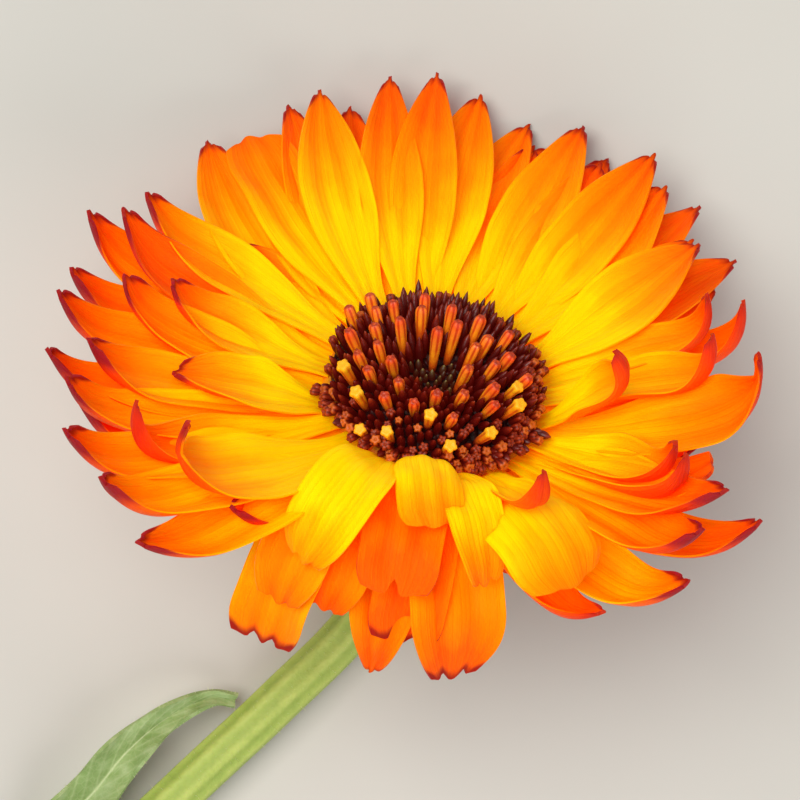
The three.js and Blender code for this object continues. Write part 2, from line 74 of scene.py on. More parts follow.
# How far from the head's axis and how high each layer is rooted
LAYERS = {"inner": (10.2, 0.3), "middle": (9.6, -0.6), "outer": (9.0, -1.5)}
# A petal's middle line bends evenly, and curls between two shares of its length. Both are in degrees.
Posture = namedtuple("Posture", "bend curl start end")
POSTURES = {
    "spread": Posture(14, 0, 0.6, 1),
    "lifted": Posture(4, 42, 0.6, 1),
    "swept": Posture(2, 56, 0.64, 1),
    "hooked": Posture(10, 84, 0.55, 1),
    "sagged": Posture(-30, 55, 0.6, 1),
    "scooping": Posture(-20, 80, 0.6, 1),
    "nodding": Posture(-36, 14, 0.8, 1),
    "drooped": Posture(-30, -50, 0.4, 1),
    "crested": Posture(-20, -90, 0.1, 0.9),
    "arched": Posture(-30, -75, 0.15, 0.7),
}
# A blade is cupped by so many degrees to each edge at its root, middle and tip. It narrows between two
# shares of its length, to a share of its width. Its tip has notches, so deep and so far from the middle,
# and its face has waves so deep. The last number says how dark its tip is, from 0 to 1.
Blade = namedtuple(
    "Blade",
    "cup_root cup_middle cup_tip narrowing narrowed tip_share notch_depth notch_side waves scorch",
)
BLADES = {
    "open": Blade(18, 28, 50, 0.56, 1, 0.1, 0.014, 0.42, 0.1, 0.7),
    "scooped": Blade(26, 46, 88, 0.6, 1, 0.18, 0.02, 0.42, 0.1, 0.9),
    "crescent": Blade(40, 72, 100, 0.4, 1, 0.1, 0.012, 0.42, 0.05, 0.3),
    "clawed": Blade(20, 36, 76, 0.62, 0.86, 0.16, 0.02, 0.42, 0.1, 0.5),
    "blunt": Blade(14, 18, 24, 0.84, 1, 0.62, 0.012, 0.42, 0.14, 0.0),
    "humped": Blade(-8, -36, -26, 0.84, 1, 0.62, 0.012, 0.42, 0.14, 0.0),
    "draped": Blade(16, 24, 30, 0.72, 1, 0.42, 0.03, 0.42, 0.18, 0.15),
    "lobed": Blade(14, 20, 26, 0.82, 1, 0.66, 0.1, 0.0, 0.16, 0.05),
    "toothed": Blade(16, 24, 36, 0.82, 1, 0.66, 0.05, 0.3, 0.16, 1.0),
    "slanted": Blade(16, 26, 36, 0.66, 1, 0.34, 0.05, 0.42, 0.16, 1.0),
    "pointed": Blade(20, 30, 44, 0.5, 1, 0.1, 0.01, 0.42, 0.16, 0.4),
}
# The root's azimuth from the right, how far right and up the tip shows to the camera, the rise, the width,
# the posture, the blade, and how far the colours run ahead from root to tip. On petals that lie in shade
# this lead also paints that shade, as a deeper orange-red. The angles are in degrees.
Petal = namedtuple("Petal", "azimuth right up rise width posture blade lead")
PETALS = {
    "inner": [
        (10, 24.8, 5.3, 20, 6.8, "hooked", "crescent", 0.03),
        (36, 23.8, 13.2, 22, 8.0, "spread", "open", 0),
        (54, 20.8, 18.4, 6, 7.4, "spread", "open", 0),
        (69, 15.0, 20.4, 4, 6.4, "spread", "open", 0),
        (84, 10.6, 21.8, 0, 7.2, "spread", "open", 0),
        (97, 4.3, 26.5, 8, 7.0, "spread", "open", 0),
        (112, -3.8, 28.2, 12, 6.2, "spread", "open", 0.03),
        (127, -10.1, 27.0, 12, 7.2, "spread", "open", -0.06),
        (134, -16.5, 22.8, 3, 7.4, "spread", "blunt", -0.1),
        (158, -25.5, 17.9, 4, 7.2, "swept", "scooped", -0.1),
        (181, -23.2, 10.2, 8, 6.6, "swept", "scooped", 0.05),
        (208, -23.2, 1.9, 26, 7.4, "nodding", "scooped", -0.05),
        (219, -26.3, -0.6, 3, 6.8, "hooked", "crescent", 0.05),
        (235, -21.8, -2.4, 9, 8.6, "hooked", "clawed", -0.12),
        (254, -11.6, -15.2, 46, 7.0, "crested", "draped", -0.35),
        (271, 0.2, -12.0, 72, 6.0, "crested", "humped", -0.22),
        (285, 4.6, -17.2, 45, 5.4, "crested", "draped", -0.18),
        (302, 12.6, -17.2, 30, 9.6, "drooped", "humped", -0.26),
        (300, 9.8, -6.8, 24, 4.8, "hooked", "crescent", -0.06),
        (338, 21.6, -4.2, 10, 7.0, "hooked", "crescent", 0.08),
        (352, 16.1, 3.8, 46, 7.0, "hooked", "crescent", 0),
    ],
    "middle": [
        (1, 22.0, 1.6, 4, 6.4, "lifted", "scooped", 0),
        (12, 22.5, 3.0, 4, 6.2, "lifted", "scooped", 0),
        (24, 24.3, 8.9, 20, 6.4, "hooked", "crescent", 0.08),
        (44, 23.2, 13.6, 6, 6.6, "spread", "open", 0.03),
        (62, 19.8, 21.3, 11, 7.0, "spread", "open", 0),
        (76, 13.4, 23.8, 8, 7.0, "spread", "open", 0),
        (91, 8.6, 23.9, 4, 6.6, "spread", "open", 0),
        (104, 0.4, 28.5, 15, 6.4, "spread", "open", 0.03),
        (120, -7.4, 25.5, 6, 6.6, "spread", "open", 0),
        (137, -15.0, 18.6, 2, 6.6, "spread", "open", 0),
        (152, -20.1, 22.5, 3, 7.6, "spread", "open", -0.1),
        (160, -21.4, 13.0, 0, 6.4, "spread", "open", 0),
        (171, -27.5, 16.5, 8, 6.8, "swept", "scooped", 0.3),
        (190, -27.5, 10.6, 10, 6.8, "swept", "scooped", 0.05),
        (202, -30.7, 4.9, 10, 7.0, "swept", "scooped", -0.05),
        (212, -32.7, 1.5, 8, 6.8, "swept", "scooped", -0.08),
        (222, -32.8, -3.1, 8, 7.0, "swept", "scooped", -0.08),
        (231, -29.6, -7.4, 8, 7.0, "swept", "scooped", -0.1),
        (240, -26.4, -13.2, 14, 7.0, "sagged", "scooped", -0.12),
        (240, -18.0, -10.0, 2, 6.6, "swept", "scooped", 0.35),
        (245, -13.8, -18.8, 6, 6.8, "drooped", "draped", -0.1),
        (256, -9.8, -19.4, 2, 6.6, "drooped", "draped", 0),
        (269, -3.7, -18.0, 22, 7.4, "drooped", "lobed", 0.16),
        (293, 5.2, -15.8, 6, 6.6, "arched", "draped", 0),
        (311, 13.0, -14.0, -4, 6.0, "scooping", "draped", 0),
        (325, 24.0, -12.0, 14, 8.0, "scooping", "scooped", 0.08),
        (329, 26.2, -8.5, 14, 7.0, "lifted", "scooped", 0.12),
        (337, 22.5, -5.3, 12, 6.8, "hooked", "crescent", 0.08),
        (350, 28.9, 3.6, 17, 8.4, "hooked", "clawed", 0.12),
    ],
    "outer": [
        (8, 22.0, 0.8, 4, 6.2, "lifted", "scooped", 0),
        (22, 27.6, 8.3, 14, 6.8, "hooked", "crescent", 0.08),
        (33, 25.2, 9.6, 0, 6.0, "spread", "open", 0.05),
        (43, 27.0, 11.8, 4, 6.6, "spread", "open", 0.05),
        (53, 23.8, 16.6, 6, 6.8, "spread", "open", 0.03),
        (71, 15.6, 20.9, 3, 6.6, "spread", "open", 0.05),
        (84, 9.0, 22.0, 5, 6.4, "spread", "open", 0.03),
        (98, 3.0, 23.0, 5, 6.4, "spread", "open", 0.03),
        (112, -4.6, 24.6, 4, 6.4, "spread", "open", 0.03),
        (127, -12.9, 25.7, 8, 6.8, "spread", "open", 0.03),
        (137, -16.4, 21.4, 2, 6.8, "spread", "open", 0.03),
        (153, -17.2, 13.4, 4, 6.4, "spread", "open", 0.03),
        (168, -30.7, 16.3, 4, 6.8, "swept", "scooped", 0.05),
        (178, -32.3, 11.2, 4, 6.8, "swept", "scooped", 0.05),
        (188, -33.4, 9.2, 8, 6.8, "swept", "scooped", 0.05),
        (201, -34.4, 4.0, 8, 6.8, "swept", "scooped", 0.05),
        (214, -31.6, -0.6, 4, 6.6, "swept", "scooped", 0.05),
        (227, -22.5, -5.5, 0, 6.6, "swept", "scooped", 0.05),
        (239, -24.1, -12.5, 8, 6.8, "sagged", "scooped", 0),
        (242, -15.2, -22.2, -6, 7.4, "drooped", "toothed", -0.1),
        (268, -5.6, -24.8, -10, 6.8, "drooped", "pointed", 0.12),
        (276, -2.8, -22.2, 0, 7.0, "drooped", "toothed", 0.15),
        (284, 1.5, -25.4, -4, 9.0, "drooped", "slanted", 0.12),
        (302, 15.3, -19.4, -12, 7.4, "scooping", "crescent", 0.1),
        (311, 22.8, -16.6, -2, 7.6, "scooping", "scooped", -0.15),
        (324, 29.3, -11.3, 0, 6.2, "swept", "scooped", 0.08),
        (337, 24.9, -6.7, 12, 6.4, "lifted", "blunt", -0.1),
        (346, 23.5, -4.6, 6, 6.0, "lifted", "scooped", 0),
    ],
}
PETAL_COLUMNS = 20
PETAL_ROWS = 64
# A blade's thickness along its middle, the share of it that is left at the edges, and the power at which
# it falls off towards them
PETAL_THICKNESS = 0.34
PETAL_EDGE_SHARE = 0.45
PETAL_EDGE_POWER = 6
# The most that a blade twists to either side, in degrees
PETAL_TWIST = 9
# Where a blade starts, below its root, and how wide it is there, as shares of its length and its width
PETAL_START = -0.045
PETAL_START_WIDTH = 0.32
# How far the tip's corners lie back, as a share of the length, the power at which they fall off towards
# the edges, and how wide its notches are, across it
CORNER_SETBACK = 0.045
CORNER_POWER = 1.6
NOTCH_WIDTH = 0.16
PLEATS = 3
PLEAT_DEPTH = 0.085
# The waves of an edge: their number, how deep they are, and how far they are shifted on either edge
EDGE_WAVES = 1.7
EDGE_WAVE_DEPTHS = (0.1, 0.32)
EDGE_WAVE_SHIFT = 0.2
# Two sets of waves crumple the face together: how many go across and along, and how their phase counts
CRUMPLES = ((0.8, 2.3, 1), (0.45, -1.4, 3))
# Shares of a blade's length between which its tip is cut, it widens, its pleats rise and fade, and the
# waves of its edges, its crumples and its twist rise
TIP_CUT = (0.8, 1)
PETAL_WIDENS = (0, 0.5)
PLEATS_RISE = (0.02, 0.2)
PLEATS_FADE = (0.72, 0.98)
EDGE_WAVES_RISE = (0.15, 0.7)
CRUMPLES_RISE = (0.1, 0.35)
TWIST_RISES = (0.1, 1)
LINE_STEPS = 80
# The aim starts from a usual length. A round changes the sway and the length by no more than its step.
USUAL_LENGTH = 24.0
AIM_ROUNDS = 20
AIM_STEP = (12, 4)
# Faces turned by more than this from one another keep a sharp edge between them
SHARP_ANGLE = math.radians(50)

petal_draws = np.random.default_rng(5)


def placed(points, place):
    """Points in millimetres in a frame of the flower's, as points in metres in the part's frame."""
    return points @ np.array(place.to_3x3()).T + np.array(place.translation)


def seen(points):
    """How far right and up of the disc's middle points of the head's frame show to the camera."""
    right, up, height = np.moveaxis(points @ np.array(head_turn.to_3x3()).T, -1, 0)
    nearness = CAMERA_PLACE[2] / (CAMERA_PLACE[2] - height)
    return np.stack(
        [
            CAMERA_PLACE[0] + (right - CAMERA_PLACE[0]) * nearness,
            CAMERA_PLACE[1] + (up - CAMERA_PLACE[1]) * nearness,
        ],
        axis=-1,
    )


def eased(x, low, high):
    """A smooth step from 0 at low to 1 at high."""
    share = np.clip((x - low) / (high - low), 0, 1)
    return share * share * (3 - 2 * share)


def flat_blade(columns, rows):
    """A flat grid, two units long and wide, whose UV map says where on the blade a point lies."""
    bpy.ops.object.select_all(action="DESELECT")
    bpy.ops.mesh.primitive_grid_add(x_subdivisions=columns, y_subdivisions=rows, size=2)
    bpy.context.object.data.uv_layers[0].name = "blade"
    return bpy.context.object


def points_of(piece):
    """The piece's points as rows of three numbers."""
    flat = np.empty(len(piece.data.vertices) * 3)
    piece.data.vertices.foreach_get("co", flat)
    return flat.reshape(-1, 3)


def set_points(piece, points):
    """Moves the piece's points to new places."""
    piece.data.vertices.foreach_set("co", points.ravel())
    piece.data.update()


petal_blank = flat_blade(PETAL_COLUMNS, PETAL_ROWS)
blank_points = points_of(petal_blank)
blank_across = blank_points[:, 0]
blank_along = (blank_points[:, 1] + 1) / 2
# A blade is thick along its middle and thin at its edges
blade_group = petal_blank.vertex_groups.new(name="blade")
for index, across in enumerate(blank_across):
    blade_group.add([index], float(1 - abs(across) ** PETAL_EDGE_POWER), "REPLACE")


def petal_line(row, layer, sway, length):
    """A petal's middle line: shares of its length, the places, and the ways along, across and up."""
    posture = POSTURES[row.posture]
    radius, height = LAYERS[layer]
    share = np.linspace(0, 1, LINE_STEPS + 1)
    curl = posture.curl * eased(share, posture.start, posture.end)
    climb = np.radians(row.rise + posture.bend * share + curl)
    heading = np.radians(row.azimuth + sway * share)
    level = np.cos(climb)
    along = np.stack([level * np.cos(heading), level * np.sin(heading), np.sin(climb)], axis=1)
    steps = along * length / LINE_STEPS
    steps[0] = 0
    turn = math.radians(row.azimuth)
    root = np.array([radius * math.cos(turn), radius * math.sin(turn), height])
    across = np.stack([-np.sin(heading), np.cos(heading), np.zeros_like(heading)], axis=1)
    return share, root + np.cumsum(steps, axis=0), along, across, np.cross(along, across)


def aimed(row, layer):
    """How far round the head a petal sways, and its length, for its tip to show where it should."""

    def tip(sway, length):
        return seen(petal_line(row, layer, sway, length)[1][-1])

    sway = 0.0
    length = USUAL_LENGTH
    for _ in range(AIM_ROUNDS):
        here = tip(sway, length)
        slopes = np.stack([tip(sway + 1, length) - here, tip(sway, length + 1) - here], axis=1)
        step = np.linalg.solve(slopes, np.array([row.right, row.up]) - here)
        step = np.clip(step, np.negative(AIM_STEP), AIM_STEP)
        sway += step[0]
        length += step[1]
    return sway, length


def petal_points(row, layer, twist, wave, phase):
    """The places of the blank's points on one petal, in the head's frame."""
    blade = BLADES[row.blade]
    side = np.abs(blank_across)
    share = PETAL_START + (1 - PETAL_START) * blank_along
    notches = blade.notch_depth * np.exp(-(((side - blade.notch_side) / NOTCH_WIDTH) ** 2))
    share = share * (1 - eased(share, *TIP_CUT) * (CORNER_SETBACK * side**CORNER_POWER + notches))
    sway, length = aimed(row, layer)
    line_share, line, along, across, up = petal_line(row, layer, sway, length)

    def on_line(values):
        return np.stack([np.interp(share, line_share, values[:, k]) for k in range(3)], axis=1)

    before_root = np.minimum(share, 0)[:, None] * length
    points = on_line(line) + before_root * along[0]
    widening = PETAL_START_WIDTH + (1 - PETAL_START_WIDTH) * eased(share, *PETAL_WIDENS)
    tapering = np.clip((share - blade.narrowing) / (blade.narrowed - blade.narrowing), 0, 1) ** 2
    half = row.width / 2 * widening * (1 - (1 - blade.tip_share) * tapering)
    cup = blade.cup_root + (blade.cup_middle - blade.cup_root) * eased(share, 0, 0.5)
    cup = np.radians(cup + (blade.cup_tip - blade.cup_middle) * eased(share, 0.5, 1))
    roll = cup * blank_across
    sideways = -half * np.sin(roll) / cup
    lift = half * (1 - np.cos(roll)) / cup
    pleats = eased(share, *PLEATS_RISE) * (1 - eased(share, *PLEATS_FADE))
    lift = lift + PLEAT_DEPTH * np.cos(PLEATS * np.pi * blank_across) * pleats
    shift = EDGE_WAVE_SHIFT * np.sign(blank_across)
    ripple = np.sin(2 * np.pi * (EDGE_WAVES * share + phase + shift))
    lift = lift + wave * ripple * side**2 * eased(share, *EDGE_WAVES_RISE)
    crumple = blade.waves
    for over, on, phases in CRUMPLES:
        crumple = crumple * np.sin(2 * np.pi * (over * blank_across + on * share + phases * phase))
    lift = lift + crumple * eased(share, *CRUMPLES_RISE)
    turn = (np.radians(twist) * eased(share, *TWIST_RISES))[:, None]
    way_across = on_line(across) * np.cos(turn) + on_line(up) * np.sin(turn)
    way_up = on_line(up) * np.cos(turn) - on_line(across) * np.sin(turn)
    return points + way_across * sideways[:, None] + way_up * lift[:, None]


def joined(objects, name):
    """The objects as one, under a new name."""
    bpy.ops.object.select_all(action="DESELECT")
    for part in objects:
        part.select_set(True)
    bpy.context.view_layer.objects.active = objects[0]
    bpy.ops.object.join()
    objects[0].name = name
    objects[0].data.name = name
    return objects[0]


def copy_of(blank):
    """A copy of a blank with a mesh of its own."""
    copy = blank.copy()
    copy.data = blank.data.copy()
    bpy.context.scene.collection.objects.link(copy)
    return copy


def mark(piece, name, values):
    """Writes a number at each of the piece's points, for its material to read."""
    attribute = piece.data.attributes.new(name, "FLOAT", "POINT")
    attribute.data.foreach_set("value", np.asarray(values, dtype=np.float32))


def thicken(piece, thickness, **settings):
    """Gives the active thin piece a body, half of it to each side."""
    body = piece.modifiers.new("body", "SOLIDIFY")
    body.thickness = thickness * MM
    body.offset = 0
    for setting, value in settings.items():
        setattr(body, setting, value)
    bpy.ops.object.modifier_apply(modifier="body")


def colour(code):
    """A colour of six hexadecimal digits as a light value with alpha."""
    parts = [int(code[i : i + 2], 16) / 255 for i in (0, 2, 4)]
    lights = [p / 12.92 if p <= 0.04045 else ((p + 0.055) / 1.055) ** 2.4 for p in parts]
    return (*lights, 1.0)


class Wire:
    """A socket of a finish's nodes. Sums and products of wires add Math nodes."""

    def __init__(self, finish, socket):
        self.finish = finish
        self.socket = socket

    def maths(self, operation, *values):
        return self.finish.node(
            "ShaderNodeMath", {"operation": operation}, dict(enumerate(values))
        )

    def __add__(self, other):
        return self.maths("ADD", self, other)

    __radd__ = __add__

    def __sub__(self, other):
        return self.maths("SUBTRACT", self, other)

    def __rsub__(self, other):
        return self.maths("SUBTRACT", other, self)

    def __mul__(self, other):
        return self.maths("MULTIPLY", self, other)

    __rmul__ = __mul__

    def __pow__(self, other):
        return self.maths("POWER", self, other)

    def sine(self):
        return self.maths("SINE", self)

    def size(self):
        return self.maths("ABSOLUTE", self)

    def rise(self, low, high):
        """0 below low, 1 above high, and smooth between them."""
        return self.finish.node(
            "ShaderNodeMapRange",
            {"interpolation_type": "SMOOTHSTEP"},
            {"Value": self, "From Min": low, "From Max": high},
        )


class Finish:
    """A material around one Principled shader, whose constant sockets are set at once."""

    def __init__(self, name, **constants):
        self.material = bpy.data.materials.new(name)
        self.material.use_nodes = True
        self.tree = self.material.node_tree
        self.shader = next(n for n in self.tree.nodes if n.type == "BSDF_PRINCIPLED")
        for socket, value in constants.items():
            self.shader.inputs[socket.replace("_", " ")].default_value = value

    def node(self, kind, settings=None, inputs=None, output=0):
        """A new node's output. Its settings come first, then the values or wires of its sockets."""
        node = self.tree.nodes.new(kind)
        for setting, value in (settings or {}).items():
            if setting == "stops":
                self.set_stops(node.color_ramp.elements, value)
            else:
                setattr(node, setting, value)
        for socket, value in (inputs or {}).items():
            self.join(node.inputs[socket], value)
        return Wire(self, node.outputs[output])

    def set_stops(self, elements, stops):
        while len(elements) < len(stops):
            elements.new(1)
        for element, (position, code) in zip(elements, stops):
            element.position = position
            element.color = colour(code)

    def join(self, socket, value):
        if isinstance(value, Wire):
            self.tree.links.new(value.socket, socket)
        else:
            socket.default_value = value

    def ramp(self, factor, stops):
        return self.node("ShaderNodeValToRGB", {"stops": stops}, {"Fac": factor})

    def blend(self, factor, first, second, way="MIX"):
        """One colour over another. A Mix node has them in sockets 6 and 7 and in its third output."""
        first, second = (colour(c) if isinstance(c, str) else c for c in (first, second))
        return self.node(
            "ShaderNodeMix",
            {"data_type": "RGBA", "blend_type": way},
            {"Factor": factor, 6: first, 7: second},
            2,
        )

    def places(self):
        return self.node("ShaderNodeTexCoord", output="Object")

    def blade(self):
        return self.node("ShaderNodeUVMap", {"uv_map": "blade"})

    def part_of(self, vector, axis):
        return self.node("ShaderNodeSeparateXYZ", {}, {"Vector": vector}, axis)

    def noise(self, scale, detail=3, vector=None):
        """Noise with so many grains a millimetre, or to a unit of the vector that is given."""
        if vector is None:
            vector = self.places()
            scale = scale / MM
        return self.node("ShaderNodeTexNoise", {}, {"Vector": vector, "Scale": scale, "Detail": detail})

    def attribute(self, name):
        return self.node("ShaderNodeAttribute", {"attribute_name": name}, output="Fac")

    def bump(self, height, distance):
        """Relief that stands so many millimetres proud."""
        return self.node("ShaderNodeBump", {}, {"Height": height, "Distance": distance * MM})

    def wear(self, **sockets):
        for socket, value in sockets.items():
            self.join(self.shader.inputs[socket.replace("_", " ")], value)
        return self.material


# A painted glow: emission that stands in for the light that comes through the thin blades from their other
# side
PAINTED_PETAL_GLOW = 0.17
PAINTED_GLOW_CODE = "ff5000"
# How fast the fine veins follow one another across the blade, and how far they wander
VEIN_PACE = 34
VEIN_WANDER = 9


def petal_finish(name, stops, tip_code, tip_reach, tip_fade, vein_code, roughness):
    """A petal's finish: colour from root to tip, painted shade in its pleats' valleys, paler rims, fine
    lengthwise veins, a dark tip, and a painted glow that stands in for light through the thin blade.
    """
    finish = Finish(
        name,
        Emission_Strength=PAINTED_PETAL_GLOW,
        Subsurface_Weight=0.45,
        Subsurface_Radius=(1.0, 0.35, 0.02),
        Subsurface_Scale=0.0018,
        Specular_IOR_Level=0.3,
        Specular_Tint=colour("ffb850"),
    )
    blade = finish.blade()
    across = finish.part_of(blade, "X") * 2 - 1
    along = finish.part_of(blade, "Y")
    tone = finish.attribute("tone")
    lead = finish.attribute("lead")
    scorch = finish.attribute("scorch")
    mottle = finish.noise(0.35)
    rim = across.size().rise(0.72, 0.98)
    # The lead runs a petal's colours ahead; on petals that lie in shade it is painted shade, a deeper
    # orange-red
    ripeness = along + (tone - 0.5) * 0.1 + lead * along.rise(0.05, 0.55)
    ripeness = ripeness + (mottle - 0.5) * 0.14 - rim * along.rise(0.3, 0.6) * 0.14
    stretch = finish.node("ShaderNodeMapping", {}, {"Vector": blade, "Scale": (9.0, 0.7, 1.0)})
    streaks = finish.noise(4.0, 4, stretch)
    # Painted shade: the pleats' valleys, where shade falls, are painted a deeper orange
    painted_pleat_shade = (across * (PLEATS * math.pi) + math.pi / 2).sine() * -0.5 + 0.5
    base = finish.ramp(ripeness + painted_pleat_shade * 0.08 + (streaks - 0.5) * 0.1, stops)
    veins = ((across * VEIN_PACE + streaks * VEIN_WANDER).sine() * 0.5 + 0.5) ** 3.0
    strength = veins * along.rise(0.05, 0.75) * 0.13 + streaks.rise(0.5, 0.75) * 0.08
    veined = finish.blend(strength, base, vein_code)
    tip_start = 0.985 - scorch * tip_reach
    tip = along + (mottle - 0.5) * 0.04 + rim * scorch * 0.03 - tip_start
    tinted = finish.blend(tip.rise(0.0, tip_fade), veined, tip_code)
    return finish.wear(
        Base_Color=tinted,
        # The emission is the painted glow: the blade's own colour warmed towards red-orange lights its
        # shaded side
        Emission_Color=finish.blend(1, tinted, PAINTED_GLOW_CODE, "MULTIPLY"),
        Roughness=mottle * 0.14 + roughness,
        Normal=finish.bump(veins * 0.5 + streaks * 0.8, 0.05),
    )


petal_face = petal_finish(
    "petal_face",
    [
        # The deeper orange at the root is painted shade, where the blade goes under the floret ring
        (0.0, "f8b000"),
        (0.12, "ffdc00"),
        (0.4, "ffd800"),
        (0.55, "ffb400"),
        (0.7, "ff9400"),
        (0.88, "fc7600"),
        (1.0, "f45c04"),
    ],
    tip_code="8c1414",
    tip_reach=0.05,
    tip_fade=0.06,
    vein_code="ff8000",
    roughness=0.5,
)
petal_underside = petal_finish(
    "petal_underside",
    [
        (0.0, "ffa800"),
        (0.3, "ff8c00"),
        (0.5, "fa7404"),
        (0.7, "f45c08"),
        (0.86, "e8480c"),
        (1.0, "cc3018"),
    ],
    tip_code="8c1828",
    tip_reach=0.15,
    tip_fade=0.12,
    vein_code="e04c08",
    roughness=0.5,
)
petal_edge = petal_finish(
    "petal_edge",
    [(0.0, "ffc400"), (0.5, "ffac00"), (0.75, "ff8c00"), (0.92, "ec5c08"), (1.0, "b82c18")],
    tip_code="8c1828",
    tip_reach=0.09,
    tip_fade=0.1,
    vein_code="ff8800",
    roughness=0.45,
)

for layer_name, rows in PETALS.items():
    petals = []
    for row in (Petal(*values) for values in rows):
        petal = copy_of(petal_blank)
        twist = petal_draws.uniform(-PETAL_TWIST, PETAL_TWIST)
        wave = petal_draws.uniform(*EDGE_WAVE_DEPTHS)
        phase = petal_draws.uniform(0, 1)
        points = petal_points(row, layer_name, twist, wave, phase)
        set_points(petal, placed(points, head_place))
        mark(petal, "tone", np.full(len(points), petal_draws.uniform(0, 1)))
        mark(petal, "lead", np.full(len(points), row.lead))
        mark(petal, "scorch", np.full(len(points), BLADES[row.blade].scorch))
        petals.append(petal)
    layer = joined(petals, "petals_" + layer_name)
    for material in (petal_face, petal_underside, petal_edge):
        layer.data.materials.append(material)
    thicken(
        layer,
        PETAL_THICKNESS,
        material_offset=1,
        material_offset_rim=2,
        vertex_group="blade",
        thickness_vertex_group=PETAL_EDGE_SHARE,
    )
    bpy.ops.object.shade_smooth_by_angle(angle=SHARP_ANGLE)
    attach(layer, "root")
    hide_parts("ray_florets")
bpy.data.objects.remove(petal_blank)

# Floret ring.
# The fleshy rim of the head that the petals' short tubes stand in. It is grown in one with the head.
# It is amber yellow, and shows only between the petals' roots.
RING_PROFILE = [
    (-2.4, 7.6),
    (-2.4, 9.7),
    (-1.9, 10.3),
    (-1.0, 10.2),
    (-0.2, 9.8),
    (0.4, 9.3),
    (0.5, 7.6),
]
RING_SIDES = 96


def turned(sides, rings):
    """A closed shape round Z, drawn up from a circle through rings, each with its height and radius."""
    bpy.ops.object.select_all(action="DESELECT")
    bpy.ops.mesh.primitive_circle_add(
        vertices=sides,
        radius=rings[0][1],
        fill_type="NGON",
        location=(0, 0, rings[0][0]),
    )
    bpy.ops.object.mode_set(mode="EDIT")
    for (low, wide), (high, narrow) in zip(rings, rings[1:]):
        bpy.ops.mesh.extrude_region_move(TRANSFORM_OT_translate={"value": (0, 0, high - low)})
        share = narrow / wide
        bpy.ops.transform.resize(value=(share, share, 1), center_override=(0, 0, high))
    bpy.ops.mesh.select_all(action="SELECT")
    bpy.ops.mesh.normals_make_consistent(inside=False)
    bpy.ops.object.mode_set(mode="OBJECT")
    bpy.ops.object.transform_apply(location=True, rotation=False, scale=False)
    return bpy.context.object


ring = turned(RING_SIDES, RING_PROFILE)
ring.name = "floret_ring"
set_points(ring, placed(points_of(ring), head_place))
ring_finish = Finish("floret_ring", Specular_IOR_Level=0.3)
ring_mottle = ring_finish.noise(1.2)
ring.data.materials.append(
    ring_finish.wear(
        Base_Color=ring_finish.ramp(
            ring_mottle, [(0.3, "c07808"), (0.55, "e09c0c"), (0.8, "d0a818")]
        ),
        Roughness=ring_mottle * 0.2 + 0.45,
        Normal=ring_finish.bump(ring_finish.noise(3.0), 0.08),
    )
)
bpy.ops.object.shade_smooth()
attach(ring, "root")
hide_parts("ray_florets")

# Disc bed.
# The dark floor of the disc, sunken in the middle like a crater, packed with floret bases.
# It is velvety maroon, and its small cells are darkest where they meet.
DISC_RADIUS = 9.3
# The disc's top: the height of its sunken middle, the rise of the crater's wall and the radii between
# which it rises, and the fall of the outer edge and the radius from which it falls
CRATER_FLOOR = 1.5
CRATER_RISE = 1.5
CRATER_WALL = (1.5, 5.5)
DISC_EDGE_FALL = 1.4
DISC_EDGE_START = 6.8
BED_BASE = 0.85
BED_BASE_RADIUS = 0.5
BED_MIDDLE_RADIUS = 0.2
BED_RINGS = 30
BED_SIDES = 72
# How far the bed lies below the florets' feet
BED_DROP = 0.1


def disc_top(radius):
    """The height of the disc's crater-shaped top at a distance from the axis."""
    wall = CRATER_RISE * eased(radius, *CRATER_WALL)
    return CRATER_FLOOR + wall - DISC_EDGE_FALL * eased(radius, DISC_EDGE_START, DISC_RADIUS)


bed_rings = [(BED_BASE, BED_BASE_RADIUS), (BED_BASE, DISC_RADIUS)]
for radius in np.linspace(DISC_RADIUS, BED_MIDDLE_RADIUS, BED_RINGS):
    bed_rings.append((float(disc_top(radius)) - BED_DROP, float(radius)))
bed = turned(BED_SIDES, bed_rings)
bed.name = "disc_bed"
set_points(bed, placed(points_of(bed), head_place))
bed_finish = Finish("disc_bed", Specular_IOR_Level=0.25)
bed_grain = bed_finish.node(
    "ShaderNodeTexVoronoi", {}, {"Vector": bed_finish.places(), "Scale": 1.6 / MM}
)
bed.data.materials.append(
    bed_finish.wear(
        Base_Color=bed_finish.ramp(
            bed_grain, [(0.0, "5c0c08"), (0.35, "3c0604"), (0.7, "200303")]
        ),
        Roughness=bed_grain * 0.3 + 0.4,
        Normal=bed_finish.bump(1 - bed_grain, 0.5),
    )
)
bpy.ops.object.shade_smooth()
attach(bed, "root")
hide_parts("disc_florets")

# Disc florets.
# Tall ones are ready to open: orange capsules with red stripes. A few have opened into yellow stars.
# The rest are glossy dark maroon buds, and withered open ones stand round the outer rim.

